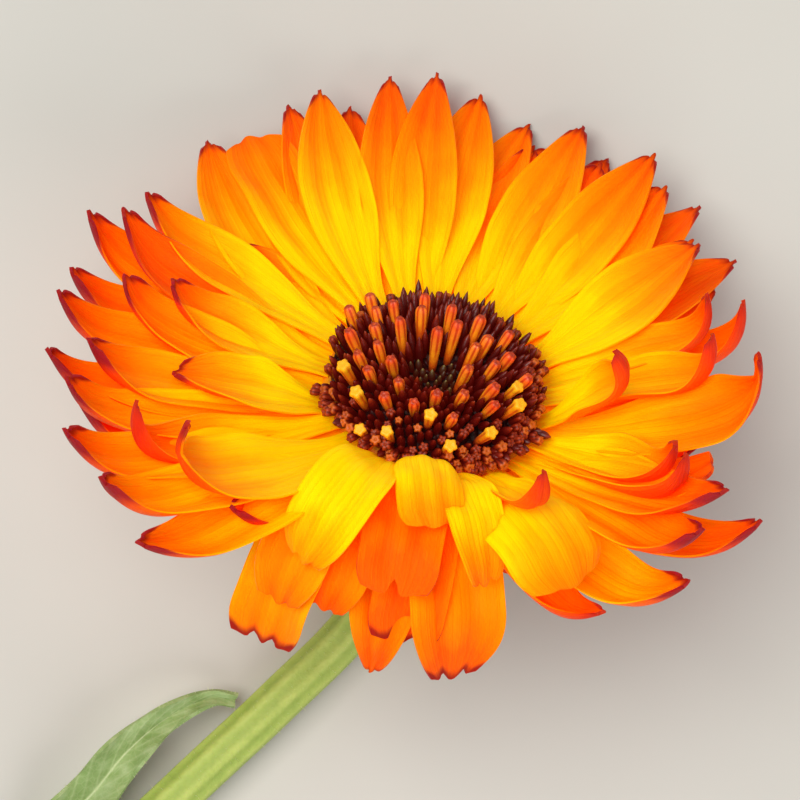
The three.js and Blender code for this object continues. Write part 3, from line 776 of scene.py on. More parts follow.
# Where a tall floret's tip shows, to the right and up from the disc's middle, its length and its kind
TALL_FLORETS = [
    (-5.7, 8.9, 3.4, "capsule"),
    (-3.6, 8.3, 3.0, "capsule"),
    (-0.7, 8.9, 3.6, "capsule"),
    (-7.6, 7.8, 3.4, "capsule"),
    (-5.2, 7.7, 3.4, "capsule"),
    (-3.0, 6.8, 4.2, "capsule"),
    (-1.0, 7.8, 4.0, "capsule"),
    (0.5, 5.9, 4.6, "capsule"),
    (2.3, 6.5, 4.4, "capsule"),
    (1.8, 7.9, 3.4, "capsule"),
    (4.4, 6.9, 3.2, "capsule"),
    (5.1, 5.1, 3.4, "capsule"),
    (7.0, 5.5, 3.2, "capsule"),
    (4.0, 4.4, 3.6, "capsule"),
    (-7.6, 5.7, 3.6, "capsule"),
    (-5.3, 6.2, 3.2, "capsule"),
    (-5.0, 4.6, 3.4, "capsule"),
    (-6.8, 3.7, 3.2, "capsule"),
    (-3.8, 3.2, 3.0, "capsule"),
    (-5.9, 2.3, 3.2, "capsule"),
    (-8.1, 2.6, 3.4, "star"),
    (3.3, 2.4, 3.8, "capsule"),
    (5.8, 2.8, 3.2, "capsule"),
    (-3.1, 1.2, 2.8, "capsule"),
    (-6.9, 0.4, 3.6, "star"),
    (-4.4, -0.1, 3.4, "capsule"),
    (-1.7, -0.7, 3.2, "capsule"),
    (0.4, 0.1, 3.2, "capsule"),
    (2.9, 0.1, 3.2, "capsule"),
    (5.7, 0.7, 3.6, "capsule"),
    (5.7, -0.9, 3.4, "capsule"),
    (7.9, -0.9, 3.6, "star"),
    (7.7, 0.7, 3.0, "star"),
    (8.7, 1.5, 3.0, "capsule"),
    (1.9, -2.0, 3.4, "capsule"),
    (-0.2, -1.8, 3.8, "star"),
    (-4.0, -2.5, 3.8, "star"),
    (5.5, -2.7, 4.0, "star"),
    (1.7, -4.2, 3.4, "star"),
    (-7.5, -3.9, 2.2, "star"),
    (7.1, 3.5, 3.0, "capsule"),
    (-5.7, -4.7, 1.8, "withered"),
    (6.3, -4.7, 1.8, "withered"),
    (3.5, -6.3, 1.8, "withered"),
    (-4.3, -4.6, 1.8, "withered"),
]
# A floret is a tube of five grown-together lobes. Each kind has its own wall, as heights and radii.
LOBES = 5
CAPSULE_WALL = [
    (0, 0.3),
    (0.25, 0.38),
    (0.5, 0.46),
    (0.7, 0.5),
    (0.84, 0.5),
    (0.91, 0.46),
    (0.96, 0.36),
    (0.985, 0.24),
    (0.975, 0.12),
    (0.96, 0.04),
]
STAR_WALL = [
    (0, 0.28),
    (0.3, 0.36),
    (0.6, 0.42),
    (0.76, 0.44),
    (0.84, 0.5),
    (0.92, 0.54),
    (0.97, 0.49),
    (0.99, 0.36),
    (0.975, 0.2),
    (0.97, 0.05),
]
WITHERED_WALL = [
    (0, 0.3),
    (0.35, 0.38),
    (0.7, 0.48),
    (0.86, 0.5),
    (0.96, 0.42),
    (1.0, 0.26),
    (0.96, 0.12),
    (0.94, 0.03),
]
BUD_WALL = [(0, 0.36), (0.35, 0.46), (0.6, 0.46), (0.78, 0.34), (0.92, 0.16), (1.0, 0.03)]
# A floret leans out by so many degrees at the axis, and by more with each millimetre from it
AXIS_LEAN = 4
LEAN_GROWTH = 3.2
# How far past the disc's edge a tall floret may stand, how deep it is sunk, and how its width varies
TALL_REACH = 0.6
TALL_SINK = 0.6
TALL_WIDTHS = {"capsule": 1.0, "star": 1.06, "withered": 1.0}
TALL_WIDTH_RANGE = (0.92, 1.06)
# Small florets stand on a spiral over the whole disc, but not in the room that a tall one takes
BUD_SPACING = 0.78
BUD_MARGIN = 0.1
GOLDEN_TURN = math.radians(137.508)
TALL_ROOM = 0.6
YOUNG_RADIUS = 2.5
RIM_RADIUS = 7.4
RIM_WITHERED_SHARE = 0.4
SMALL_SINK = 0.5
SMALL_LEAN_SCATTER = 16
# The least width and length of small florets, each with what chance adds to it at most
SMALL_FLORETS = {
    "young": (0.5, 0.2, 0.6, 0.4),
    "bud": (0.66, 0.2, 1.3, 1.3),
    "withered": (0.66, 0.2, 1.2, 0.7),
    "spilled": (0.7, 0.3, 0.9, 0.8),
}
# On the near side the oldest florets spill over the disc's edge, in rings that start at one azimuth. Each
# ring has a radius, a number of florets and their lean. All angles here are in degrees.
SPILL_RINGS = ((9.3, 30, 40), (9.9, 32, 56), (10.4, 26, 70))
SPILL_START = 200
SPILL_SWEEP = 140
SPILL_SCATTER = 0.8
SPILL_LEAN_SCATTER = 24
SPILL_WITHERED_SHARE = 0.6

floret_draws = np.random.default_rng(23)
level_in_view = np.array(head_turn.to_3x3())[:2, :2]


def lean_at(radius):
    """How far a floret leans out at a distance from the axis."""
    return math.radians(AXIS_LEAN + LEAN_GROWTH * radius)


def leaning(turn, lean):
    """The way a floret points when it leans out from the disc's middle."""
    out = math.sin(lean)
    return np.array([out * math.cos(turn), out * math.sin(turn), math.cos(lean)])


def floret_foot(right, up, length):
    """The place on the disc from which a floret of this length shows its tip so far right and up."""
    foot = np.array([right, up])
    for _ in range(AIM_ROUNDS):
        radius = min(np.hypot(*foot), DISC_RADIUS + TALL_REACH)
        turn = math.atan2(foot[1], foot[0])
        tip = leaning(turn, lean_at(radius)) * length
        tip += [*foot, float(disc_top(radius))]
        foot = foot + np.linalg.solve(level_in_view, [right, up] - seen(tip))
    return radius, turn


def standing(radius, turn, lean, spin, width, length, sink):
    """The place of a floret that stands on the disc, from a blank one millimetre wide and long."""
    way = Vector(leaning(turn, lean))
    foot = Vector((radius * math.cos(turn), radius * math.sin(turn), float(disc_top(radius))))
    return (
        head_place
        @ Matrix.Translation(foot - way * sink)
        @ way.to_track_quat("Z", "Y").to_matrix().to_4x4()
        @ Matrix.Rotation(spin, 4, "Z")
        @ Matrix.Diagonal((width, width, length + sink, 1))
    )


def floret_blank(sides, wall, lobe_depth, lobe_start):
    """A floret one millimetre wide and long, whose wall is drawn into lobes towards its top."""
    blank = turned(sides, wall)
    points = points_of(blank)
    angle = np.arctan2(points[:, 1], points[:, 0])
    height = points[:, 2].copy()
    wave = np.cos(LOBES * angle)
    growth = lobe_depth * eased(height, lobe_start, 1)
    points[:, :2] *= (1 + growth * wave)[:, None]
    set_points(blank, points)
    mark(blank, "lobe", wave)
    mark(blank, "height", height)
    bpy.ops.object.shade_smooth()
    return blank


BLANKS = {
    "capsule": floret_blank(20, CAPSULE_WALL, lobe_depth=0.13, lobe_start=0.2),
    "star": floret_blank(20, STAR_WALL, lobe_depth=0.16, lobe_start=0.6),
    "withered": floret_blank(15, WITHERED_WALL, lobe_depth=0.22, lobe_start=0.3),
    "bud": floret_blank(10, BUD_WALL, lobe_depth=0.16, lobe_start=0.1),
}
BLANKS["young"] = BLANKS["bud"]
florets = {kind: [] for kind in BLANKS}
tall_feet = []


def sow(kind, place):
    """Adds one floret of a kind, with a tone of its own."""
    floret = copy_of(BLANKS[kind])
    floret.data.transform(place)
    mark(floret, "tone", np.full(len(floret.data.vertices), floret_draws.uniform(0, 1)))
    florets[kind].append(floret)


def small_size(form, wide, long):
    """A small floret's width and length, from two numbers between 0 and 1."""
    width, more_width, length, more_length = SMALL_FLORETS[form]
    return width + more_width * wide, length + more_length * long


for right, up, length, kind in TALL_FLORETS:
    radius, turn = floret_foot(right, up, length)
    width = TALL_WIDTHS[kind] * floret_draws.uniform(*TALL_WIDTH_RANGE)
    spin = floret_draws.uniform(0, math.tau)
    tall_feet.append((radius * math.cos(turn), radius * math.sin(turn)))
    sow(kind, standing(radius, turn, lean_at(radius), spin, width, length, TALL_SINK))

bud_count = int((DISC_RADIUS / BUD_SPACING) ** 2 * math.pi)
for index in range(bud_count):
    radius = (DISC_RADIUS - BUD_MARGIN) * math.sqrt((index + 0.5) / bud_count)
    turn = index * GOLDEN_TURN
    foot = (radius * math.cos(turn), radius * math.sin(turn))
    age, wide, long, slant, spin = floret_draws.uniform(0, 1, 5)
    if min(math.dist(foot, tall) for tall in tall_feet) < TALL_ROOM:
        continue
    if radius < YOUNG_RADIUS:
        kind = "young"
    elif radius > RIM_RADIUS and age < RIM_WITHERED_SHARE:
        kind = "withered"
    else:
        kind = "bud"
    width, length = small_size(kind, wide, long)
    lean = lean_at(radius) + math.radians(SMALL_LEAN_SCATTER * (slant - 0.5))
    sow(kind, standing(radius, turn, lean, spin * math.tau, width, length, SMALL_SINK))

for radius, count, ring_lean in SPILL_RINGS:
    for index in range(count):
        stray, slant, wide, long, spin = floret_draws.uniform(0, 1, 5)
        turn = math.radians(SPILL_START + SPILL_SWEEP * (index + SPILL_SCATTER * stray) / count)
        lean = math.radians(ring_lean + SPILL_LEAN_SCATTER * (slant - 0.5))
        width, length = small_size("spilled", wide, long)
        kind = "withered" if spin < SPILL_WITHERED_SHARE else "bud"
        sow(kind, standing(radius, turn, lean, spin * math.tau, width, length, SMALL_SINK))


def floret_finish(name, stops, stripe, top, plain_share, roughness):
    """A floret's finish: colour from foot to top, with stripes between its lobes and a top of its own.

    The stripe is its colour and strength, and the top is its colour and the height where it starts. The
    plain share of the florets has no such top, and below 0 none is without.
    """
    stripe_code, stripe_strength = stripe
    top_code, top_start = top
    finish = Finish(
        name,
        # A faint painted red glow lifts the colour of the florets that lie in shade
        Emission_Color=colour("ff2000"),
        Emission_Strength=0.03,
        Subsurface_Weight=0.12,
        Subsurface_Radius=(1.0, 0.3, 0.1),
        Subsurface_Scale=0.0005,
        Specular_IOR_Level=0.4,
    )
    height = finish.attribute("height")
    lobe = finish.attribute("lobe")
    tone = finish.attribute("tone")
    grain = finish.noise(2.2)
    body = finish.ramp(height + (tone - 0.5) * 0.25 + (grain - 0.5) * 0.2, stops)
    striping = (0 - lobe).rise(-0.1, 0.75) * height.rise(0.25, 0.6) * stripe_strength
    striped = finish.blend(striping, body, stripe_code)
    topping = (height + (grain - 0.5) * 0.1).rise(top_start, 1.0)
    topping = topping * tone.rise(plain_share - 0.1, plain_share + 0.1)
    return finish.wear(
        Base_Color=finish.blend(topping, striped, top_code),
        Roughness=grain * 0.25 + roughness,
        Normal=finish.bump(grain, 0.06),
    )


FLORET_FINISHES = {
    "capsule": floret_finish(
        "capsule",
        [(0.0, "6a1408"), (0.3, "d0580a"), (0.55, "ff9c14"), (0.8, "ff8420"), (1.0, "f05a18")],
        stripe=("c42008", 0.8),
        top=("9c2c10", 0.93),
        plain_share=-0.1,
        roughness=0.3,
    ),
    "star": floret_finish(
        "star",
        [(0.0, "6a1408"), (0.3, "d0580a"), (0.6, "ff9810"), (0.85, "ffb810"), (1.0, "ffd020")],
        stripe=("c83008", 0.7),
        top=("ffb810", 0.8),
        plain_share=-0.1,
        roughness=0.35,
    ),
    "withered": floret_finish(
        "withered",
        [(0.0, "2a0402"), (0.4, "500c04"), (0.7, "7c1c06"), (1.0, "a03808")],
        stripe=("300404", 0.7),
        top=("c86414", 0.86),
        plain_share=0.6,
        roughness=0.35,
    ),
    "bud": floret_finish(
        "bud",
        [(0.0, "100203"), (0.45, "2c0404"), (0.75, "4e0a06"), (1.0, "701a0c")],
        stripe=("1c0404", 0.7),
        top=("94340f", 0.8),
        plain_share=0.8,
        roughness=0.25,
    ),
    "young": floret_finish(
        "young",
        [(0.0, "0a0504"), (0.5, "1a1208"), (0.8, "2a220e"), (1.0, "443e18")],
        stripe=("100406", 0.6),
        top=("74703a", 0.85),
        plain_share=0.5,
        roughness=0.3,
    ),
}
for kind, group in florets.items():
    piece = joined(group, "florets_" + kind)
    piece.data.materials.append(FLORET_FINISHES[kind])
    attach(piece, "root")
    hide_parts("disc_florets")
for blank in set(BLANKS.values()):
    bpy.data.objects.remove(blank)

# Stem.
# A soft ribbed stalk that swells under the head and was cut with a blade at its other end.
# It is pale yellow-green, streaked along its ribs, with short fine hairs.
RIB_COUNT = 8
RIB_DEPTH = 0.1
# The radii between which the stem goes over into its swelling, and the share of the ribs' depth left there
SWOLLEN_RADII = (2.2, 5)
SWOLLEN_RIB_SHARE = 0.35
STEM_SIDES = 64
STEM_RINGS = 110
STEM_HEAD_AXIS = (-2.75, -5.5, -8.5, -12, -16)
STEM_ROUTE = [
    (-6.8, -21, -19.9),
    (-14.2, -28.6, -20.3),
    (-20.6, -34.6, -20.3),
    (-27.5, -41, -20.3),
    (-37.5, -49.5, -20.4),
]
# From the head down: a height on its axis, and the stem's radius there
SWELLING = [
    (-2.75, 9),
    (-4.2, 8.4),
    (-5.9, 6.8),
    (-7.6, 5.1),
    (-8.6, 4.4),
    (-9.8, 2.9),
    (-11, 2.2),
    (-12, 2.1),
]
# The rings of the cut end, as shares of the radius, how far its pith is sunk, and the shares of the radius,
# from the skin, between which it sinks
CUT_RINGS = (0.86, 0.5, 0.12)
PITH_DEPTH = 0.35
PITH_SINKS = (0.1, 0.6)
ROUTE_STEPS = 40
# Each radius is the mean of so many rings, so that the swelling has no corners
SMOOTHED_RINGS = 5


def between(t, a, b, low, high):
    """The place on the way from a at low to b at high that is reached at t."""
    return (a * (high - t) + b * (t - low)) / (high - low)


def route_through(corners, count):
    """Even places on a smooth line through the corners, with the way along at each, and its length."""
    corners = [np.array(c, float) for c in corners]
    ends = [2 * corners[0] - corners[1], *corners, 2 * corners[-1] - corners[-2]]
    fine = []
    for before, start, end, after in zip(ends, ends[1:], ends[2:], ends[3:]):
        pairs = ((before, start), (start, end), (end, after))
        knots = np.cumsum([0] + [np.linalg.norm(b - a) ** 0.5 for a, b in pairs])
        for t in np.linspace(knots[1], knots[2], ROUTE_STEPS, endpoint=False):
            first = between(t, before, start, knots[0], knots[1])
            second = between(t, start, end, knots[1], knots[2])
            third = between(t, end, after, knots[2], knots[3])
            left = between(t, first, second, knots[0], knots[2])
            right = between(t, second, third, knots[1], knots[3])
            fine.append(between(t, left, right, knots[1], knots[2]))
    fine.append(corners[-1])
    fine = np.array(fine)
    run = np.concatenate([[0], np.cumsum(np.linalg.norm(np.diff(fine, axis=0), axis=1))])
    even = np.linspace(0, run[-1], count)
    places = np.stack([np.interp(even, run, fine[:, k]) for k in range(3)], axis=1)
    ways = np.gradient(places, axis=0)
    return places, ways / np.linalg.norm(ways, axis=1)[:, None], run[-1]


def frames_along(ways, first_across):
    """Ways across and up at each place, carried along the line without twisting."""
    across = np.array(first_across, float)
    rows = []
    for way in ways:
        across = across - across.dot(way) * way
        across = across / np.linalg.norm(across)
        rows.append(across)
    across = np.array(rows)
    return across, np.cross(ways, across)


head_line = [head_turn @ Vector((0, 0, z)) for z in STEM_HEAD_AXIS]
stem_places, stem_ways, stem_length = route_through([*head_line, *STEM_ROUTE], STEM_RINGS)
stem_across, stem_up = frames_along(stem_ways, head_right)
stem_depth = np.linspace(0, stem_length, STEM_RINGS)
swelling_depth = [STEM_HEAD_AXIS[0] - z for z, _ in SWELLING]
stem_radii = np.interp(stem_depth, swelling_depth, [r for _, r in SWELLING])
stem_radii = np.pad(stem_radii, SMOOTHED_RINGS // 2, mode="edge")
stem_radii = np.convolve(stem_radii, np.ones(SMOOTHED_RINGS) / SMOOTHED_RINGS, "valid")

# It is drawn up straight, with a ring to each millimetre, and its rings are then moved to the route
stem_rings = [(float(i), 1.0) for i in range(STEM_RINGS)]
stem_rings += [(STEM_RINGS - 1.0, share) for share in CUT_RINGS]
stem = turned(STEM_SIDES, stem_rings)
stem.name = "stem_skin"
stalk = points_of(stem)
stalk_turn = np.arctan2(stalk[:, 1], stalk[:, 0])
stalk_out = np.hypot(stalk[:, 0], stalk[:, 1])
stalk_ring = np.rint(stalk[:, 2]).astype(int)
stalk_rib = np.cos(RIB_COUNT * stalk_turn)
narrow = 1 - eased(stem_radii[stalk_ring], *SWOLLEN_RADII)
rib = RIB_DEPTH * stalk_rib * (SWOLLEN_RIB_SHARE + (1 - SWOLLEN_RIB_SHARE) * narrow) * stalk_out
radius = (stem_radii[stalk_ring] * stalk_out + rib)[:, None]
sunk = PITH_DEPTH * eased(1 - stalk_out, *PITH_SINKS) * (stalk_ring == STEM_RINGS - 1)
stem_points = (
    stem_places[stalk_ring]
    + radius * np.cos(stalk_turn)[:, None] * stem_across[stalk_ring]
    + radius * np.sin(stalk_turn)[:, None] * stem_up[stalk_ring]
    - sunk[:, None] * stem_ways[stalk_ring]
)
set_points(stem, placed(stem_points, flower_place))
mark(stem, "rib", stalk_rib)
mark(stem, "down", stalk_ring / (STEM_RINGS - 1))
mark(stem, "out", stalk_out)

stem_finish = Finish(
    "stem_skin",
    Subsurface_Weight=0.15,
    Subsurface_Radius=(0.6, 1.0, 0.2),
    Subsurface_Scale=0.001,
    Specular_IOR_Level=0.4,
)
stem_rib = stem_finish.attribute("rib")
stem_down = stem_finish.attribute("down")
stem_out = stem_finish.attribute("out")
stem_mottle = stem_finish.noise(0.5)
stem_streak = stem_finish.noise(2.5, 4)
stem_skin = stem_finish.ramp(
    stem_rib * 0.16 + 0.5 + (stem_mottle - 0.5) * 0.6 + (stem_streak - 0.5) * 0.3,
    [(0.1, "86a040"), (0.45, "9cb250"), (0.7, "aebf60"), (1.0, "c2cd78")],
)
stem_cut = stem_finish.ramp(stem_out, [(0.1, "e6ecc0"), (0.6, "cfdc9a"), (0.9, "9cb45a")])
stem_at_cut = stem_down.rise(0.9985, 0.9999) * (1 - stem_out).rise(0.02, 0.1)
stem.data.materials.append(
    stem_finish.wear(
        Base_Color=stem_finish.blend(stem_at_cut, stem_skin, stem_cut),
        Roughness=stem_mottle * 0.2 + 0.45,
        Normal=stem_finish.bump(stem_streak, 0.08),
    )
)
bpy.ops.object.shade_smooth_by_angle(angle=SHARP_ANGLE)
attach(stem, "root")
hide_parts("stem")

# Bracts, the involucre.
# A green cup hugs the swollen end of the stem, and two rows of narrow pointed bracts stand on it.
# They are soft and hairy, with a darker midrib and paler edges.
CUP_PROFILE = [
    (-2.75, 9.35),
    (-4.3, 8.55),
    (-6.15, 6.75),
    (-7.85, 4.7),
    (-8.5, 5.3),
    (-7.7, 6.3),
    (-6.75, 7.4),
    (-5.8, 8.4),
    (-4.75, 9.3),
    (-3.7, 9.8),
    (-2.75, 10.1),
    (-2.75, 9.4),
]
CUP_SIDES = 96
CUP_SHARP_ANGLE = math.radians(60)
BRACT_COUNT = 16
BRACT_WIDTH = 2.3
BRACT_THICKNESS = 0.42
BRACT_HOLLOW = 0.26
# The share of a bract's width at its foot, how much of the width its point takes away, and the shares of
# its length between which it widens and narrows
BRACT_FOOT_WIDTH = 0.75
BRACT_TAPER = 0.94
BRACT_WIDENS = (0, 0.4)
BRACT_NARROWS = (0.45, 1.02)
# How far a bract's azimuth strays, as a share of the step from one to the next
BRACT_STRAY = 0.3
# The second row's bracts stand between the first row's and a little higher, and are shorter and narrower
SECOND_LENGTHS = (0.8, 0.92)
SECOND_WIDTH_SHARE = 0.85
SECOND_RISE = 0.25
BRACT_COLUMNS = 8
BRACT_ROWS = 26
# Distance from the axis and height, from the bract's foot to its point
BRACT_LINE = [(5.6, -8.5), (7.6, -6.6), (9.5, -4.9), (11, -4.0), (12.5, -3.6), (14.2, -3.5)]

bract_draws = np.random.default_rng(31)


def repeatable(item, purpose):
    """The same number between 0 and 1 that the solids take for this item and purpose."""
    wave = math.sin(item * 12.9898 + purpose * 78.233) * 43758.5453
    return wave - math.floor(wave)


bract_blank = flat_blade(BRACT_COLUMNS, BRACT_ROWS)
bract_flat = points_of(bract_blank)
bract_across = bract_flat[:, 0]
bract_along = (bract_flat[:, 1] + 1) / 2


def bract_points(azimuth, length_share, width, rise):
    """The places of the blank's points on one bract, in the head's frame."""
    share = bract_along * length_share
    stops = np.linspace(0, 1, len(BRACT_LINE))
    distance = np.interp(share, stops, [r for r, _ in BRACT_LINE])
    height = np.interp(share, stops, [z for _, z in BRACT_LINE])
    widening = BRACT_FOOT_WIDTH + (1 - BRACT_FOOT_WIDTH) * eased(bract_along, *BRACT_WIDENS)
    half = width / 2 * widening * (1 - BRACT_TAPER * eased(bract_along, *BRACT_NARROWS))
    height = height + rise - BRACT_HOLLOW * half * (1 - bract_across**2)
    out = np.array([math.cos(azimuth), math.sin(azimuth), 0])
    across = np.array([-math.sin(azimuth), math.cos(azimuth), 0])
    up = np.array([0, 0, 1])
    sideways = -half * bract_across
    return distance[:, None] * out + sideways[:, None] * across + height[:, None] * up


bract_objects = []
bract_middles = []
for index in range(BRACT_COUNT * 2):
    second = index >= BRACT_COUNT
    item = index % BRACT_COUNT
    shift = 0.5 if second else 0
    azimuth = (item + BRACT_STRAY * repeatable(item, 5) + shift) / BRACT_COUNT * math.tau
    length_share = bract_draws.uniform(*SECOND_LENGTHS) if second else 1.0
    width = BRACT_WIDTH * SECOND_WIDTH_SHARE if second else BRACT_WIDTH
    bract = copy_of(bract_blank)
    points = bract_points(azimuth, length_share, width, SECOND_RISE if second else 0)
    set_points(bract, placed(points, head_place))
    mark(bract, "tone", np.full(len(points), bract_draws.uniform(0, 1)))
    bract_objects.append(bract)
    bract_middles.append(points)
bpy.data.objects.remove(bract_blank)
bracts = joined(bract_objects, "bract_blades")
thicken(bracts, BRACT_THICKNESS)

bract_finish = Finish("bract_green", Specular_IOR_Level=0.35)
bract_side = (bract_finish.part_of(bract_finish.blade(), "X") * 2 - 1).size()
bract_tone = bract_finish.attribute("tone")
bract_mottle = bract_finish.noise(0.9)
bract_shade = bract_side * 0.6 + (bract_mottle - 0.5) * 0.5 + bract_tone * 0.25
bracts.data.materials.append(
    bract_finish.wear(
        Base_Color=bract_finish.ramp(
            bract_shade, [(0.0, "5d7f2c"), (0.4, "6f9436"), (0.8, "93ae55"), (1.0, "b4c67c")]
        ),
        Roughness=bract_mottle * 0.2 + 0.55,
        Normal=bract_finish.bump(bract_mottle + (1 - bract_side) * 0.6, 0.12),
    )
)
bpy.ops.object.shade_smooth_by_angle(angle=SHARP_ANGLE)
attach(bracts, "root")
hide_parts("involucre")

cup = turned(CUP_SIDES, CUP_PROFILE)
cup.name = "bract_cup"
cup_points = points_of(cup)
cup_turn = np.arctan2(cup_points[:, 1], cup_points[:, 0])
set_points(cup, placed(cup_points, head_place))
mark(cup, "tone", 0.5 + 0.5 * np.cos(BRACT_COUNT * cup_turn))
cup_finish = Finish("bract_cup", Specular_IOR_Level=0.35)
cup_mottle = cup_finish.noise(0.9)
cup_tone = cup_finish.attribute("tone")
cup.data.materials.append(
    cup_finish.wear(
        Base_Color=cup_finish.ramp(
            cup_mottle * 0.6 + cup_tone * 0.4,
            [(0.1, "4f7026"), (0.5, "6c9034"), (0.9, "8eaa50")],
        ),
        Roughness=cup_mottle * 0.2 + 0.55,
        Normal=cup_finish.bump(cup_mottle, 0.15),
    )
)
bpy.ops.object.shade_smooth_by_angle(angle=CUP_SHARP_ANGLE)
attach(cup, "root")
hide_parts("involucre")

# Leaf.
# One narrow stem leaf, folded along its midrib, with waved edges. It clasps the stem at its foot.
# It is grey-green, with a pale midrib, fine net veins and a soft bloom.
LEAF_ROUTE = [
    (-18.4, -28.6, -20.2),
    (-20.4, -28.3, -19.4),
    (-24.2, -29.9, -18.4),
    (-28.2, -33.2, -18.2),
    (-32, -37.7, -18.9),
    (-37.6, -42.4, -20.6),
    (-44, -47, -21.4),
]
LEAF_WIDTH = 6
LEAF_FOLD = math.radians(45)
LEAF_THICKNESS = 0.4
# The share of the leaf's width at its foot, how much of it the point takes away, and the least share
LEAF_FOOT_WIDTH = 0.3
LEAF_TAPER = 0.94
LEAF_POINT_WIDTH = 0.06
# The shares of its length between which it widens and narrows
LEAF_WIDENS = (0, 0.5)
LEAF_NARROWS = (0.6, 1.03)
# How round the fold is at the midrib
FOLD_ROUNDING = 0.1
# The waves of the leaf's edges: their number, how deep they are, and how far they are shifted on an edge
LEAF_WAVES = 5
LEAF_WAVE_DEPTH = 0.18
LEAF_WAVE_SHIFT = 0.3
LEAF_COLUMNS = 24
LEAF_ROWS = 90
# How fast the side veins follow one another along the leaf, and how far they run on to its edges
SIDE_VEIN_PACE = 90
SIDE_VEIN_SLANT = 14

leaf = flat_blade(LEAF_COLUMNS, LEAF_ROWS)
leaf.name = "leaf_blade"
leaf_flat = points_of(leaf)
leaf_share = (leaf_flat[:, 1] + 1) / 2
leaf_side = leaf_flat[:, 0]
leaf_places, leaf_ways, _ = route_through(LEAF_ROUTE, LEAF_ROWS + 1)
leaf_row = np.rint(leaf_share * LEAF_ROWS).astype(int)
leaf_crossways = np.cross([0, 0, 1], leaf_ways)
leaf_crossways /= np.linalg.norm(leaf_crossways, axis=1)[:, None]
leaf_upways = np.cross(leaf_ways, leaf_crossways)
leaf_outline = LEAF_FOOT_WIDTH + (1 - LEAF_FOOT_WIDTH) * eased(leaf_share, *LEAF_WIDENS)
leaf_outline = leaf_outline - LEAF_TAPER * eased(leaf_share, *LEAF_NARROWS)
leaf_half = LEAF_WIDTH / 2 * np.maximum(leaf_outline, LEAF_POINT_WIDTH)
leaf_rise = np.sqrt(leaf_side**2 + FOLD_ROUNDING**2) - FOLD_ROUNDING
leaf_wave = np.sin(2 * np.pi * (LEAF_WAVES * leaf_share + LEAF_WAVE_SHIFT * leaf_side))
leaf_wave = LEAF_WAVE_DEPTH * leaf_wave * leaf_side**2
leaf_lift = leaf_half * (leaf_rise * math.sin(LEAF_FOLD) + leaf_wave)
leaf_points = (
    leaf_places[leaf_row]
    - (leaf_side * leaf_half * math.cos(LEAF_FOLD))[:, None] * leaf_crossways[leaf_row]
    + leaf_lift[:, None] * leaf_upways[leaf_row]
)
set_points(leaf, placed(leaf_points, flower_place))
thicken(leaf, LEAF_THICKNESS)

leaf_finish = Finish("leaf_blade", Specular_IOR_Level=0.35)
leaf_uv = leaf_finish.blade()
leaf_from_rib = (leaf_finish.part_of(leaf_uv, "X") * 2 - 1).size()
leaf_on = leaf_finish.part_of(leaf_uv, "Y")
leaf_mottle = leaf_finish.noise(0.6)
leaf_net = leaf_finish.node(
    "ShaderNodeTexVoronoi",
    {"feature": "DISTANCE_TO_EDGE"},
    {"Vector": leaf_finish.places(), "Scale": 1.3 / MM},
)
leaf_veins = (leaf_on * SIDE_VEIN_PACE + leaf_from_rib * SIDE_VEIN_SLANT).sine()
leaf_veins = (leaf_veins * 0.5 + 0.5) ** 6.0
leaf_midrib = 1 - leaf_from_rib.rise(0.03, 0.14)
leaf_colour = leaf_finish.ramp(
    leaf_mottle, [(0.25, "74904e"), (0.5, "8aa465"), (0.75, "a3b884")]
)
leaf_light = leaf_midrib * 0.7 + leaf_veins * 0.18 + (1 - leaf_net.rise(0.0, 0.12)) * 0.12
leaf.data.materials.append(
    leaf_finish.wear(
        Base_Color=leaf_finish.blend(leaf_light, leaf_colour, "c4d2a2"),
        Roughness=leaf_mottle * 0.2 + 0.55,
        Normal=leaf_finish.bump(leaf_light * 0.8 + leaf_mottle * 0.3, 0.12),
    )
)
bpy.ops.object.shade_smooth_by_angle(angle=SHARP_ANGLE)
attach(leaf, "root")
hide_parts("leaf")

# Hairs.
# Short pale hairs stand on the stem, the bracts and the leaf's edges. Each tapers from a foot sunk in the
# skin to a fine point. None grows where the stem or the leaf lies on the surface.
HAIR_LENGTH = 0.55
HAIR_LENGTH_RANGE = (0.5, 1.1)
HAIR_RADIUS = 0.022
HAIR_SINK = 0.08
HAIR_TILT = 0.35
STEM_HAIRS = 1100
BRACT_HAIRS = 26
LEAF_HAIRS = 260
# The stretch of the stem and the share of the leaf that carry hairs
HAIRY_STEM = (0.06, 0.985)
HAIRY_LEAF = 0.97
# How far hairs lean out under the bracts, and up at the leaf's edges
BRACT_HAIR_LEAN = 0.6
LEAF_HAIR_LEAN = 0.6

hair_draws = np.random.default_rng(47)
bpy.ops.object.select_all(action="DESELECT")
bpy.ops.mesh.primitive_cone_add(vertices=3, radius1=1, radius2=0, depth=1, location=(0, 0, 0.5))
bpy.ops.object.transform_apply(location=True, rotation=False, scale=False)
hair_blank = bpy.context.object

hair_finish = Finish("hair", Specular_IOR_Level=0.4)
hair_tint = hair_finish.noise(0.8)
hair_material = hair_finish.wear(
    Base_Color=hair_finish.ramp(hair_tint, [(0.3, "b9c987"), (0.7, "e3e9c4")]),
    Roughness=hair_tint * 0.2 + 0.4,
)


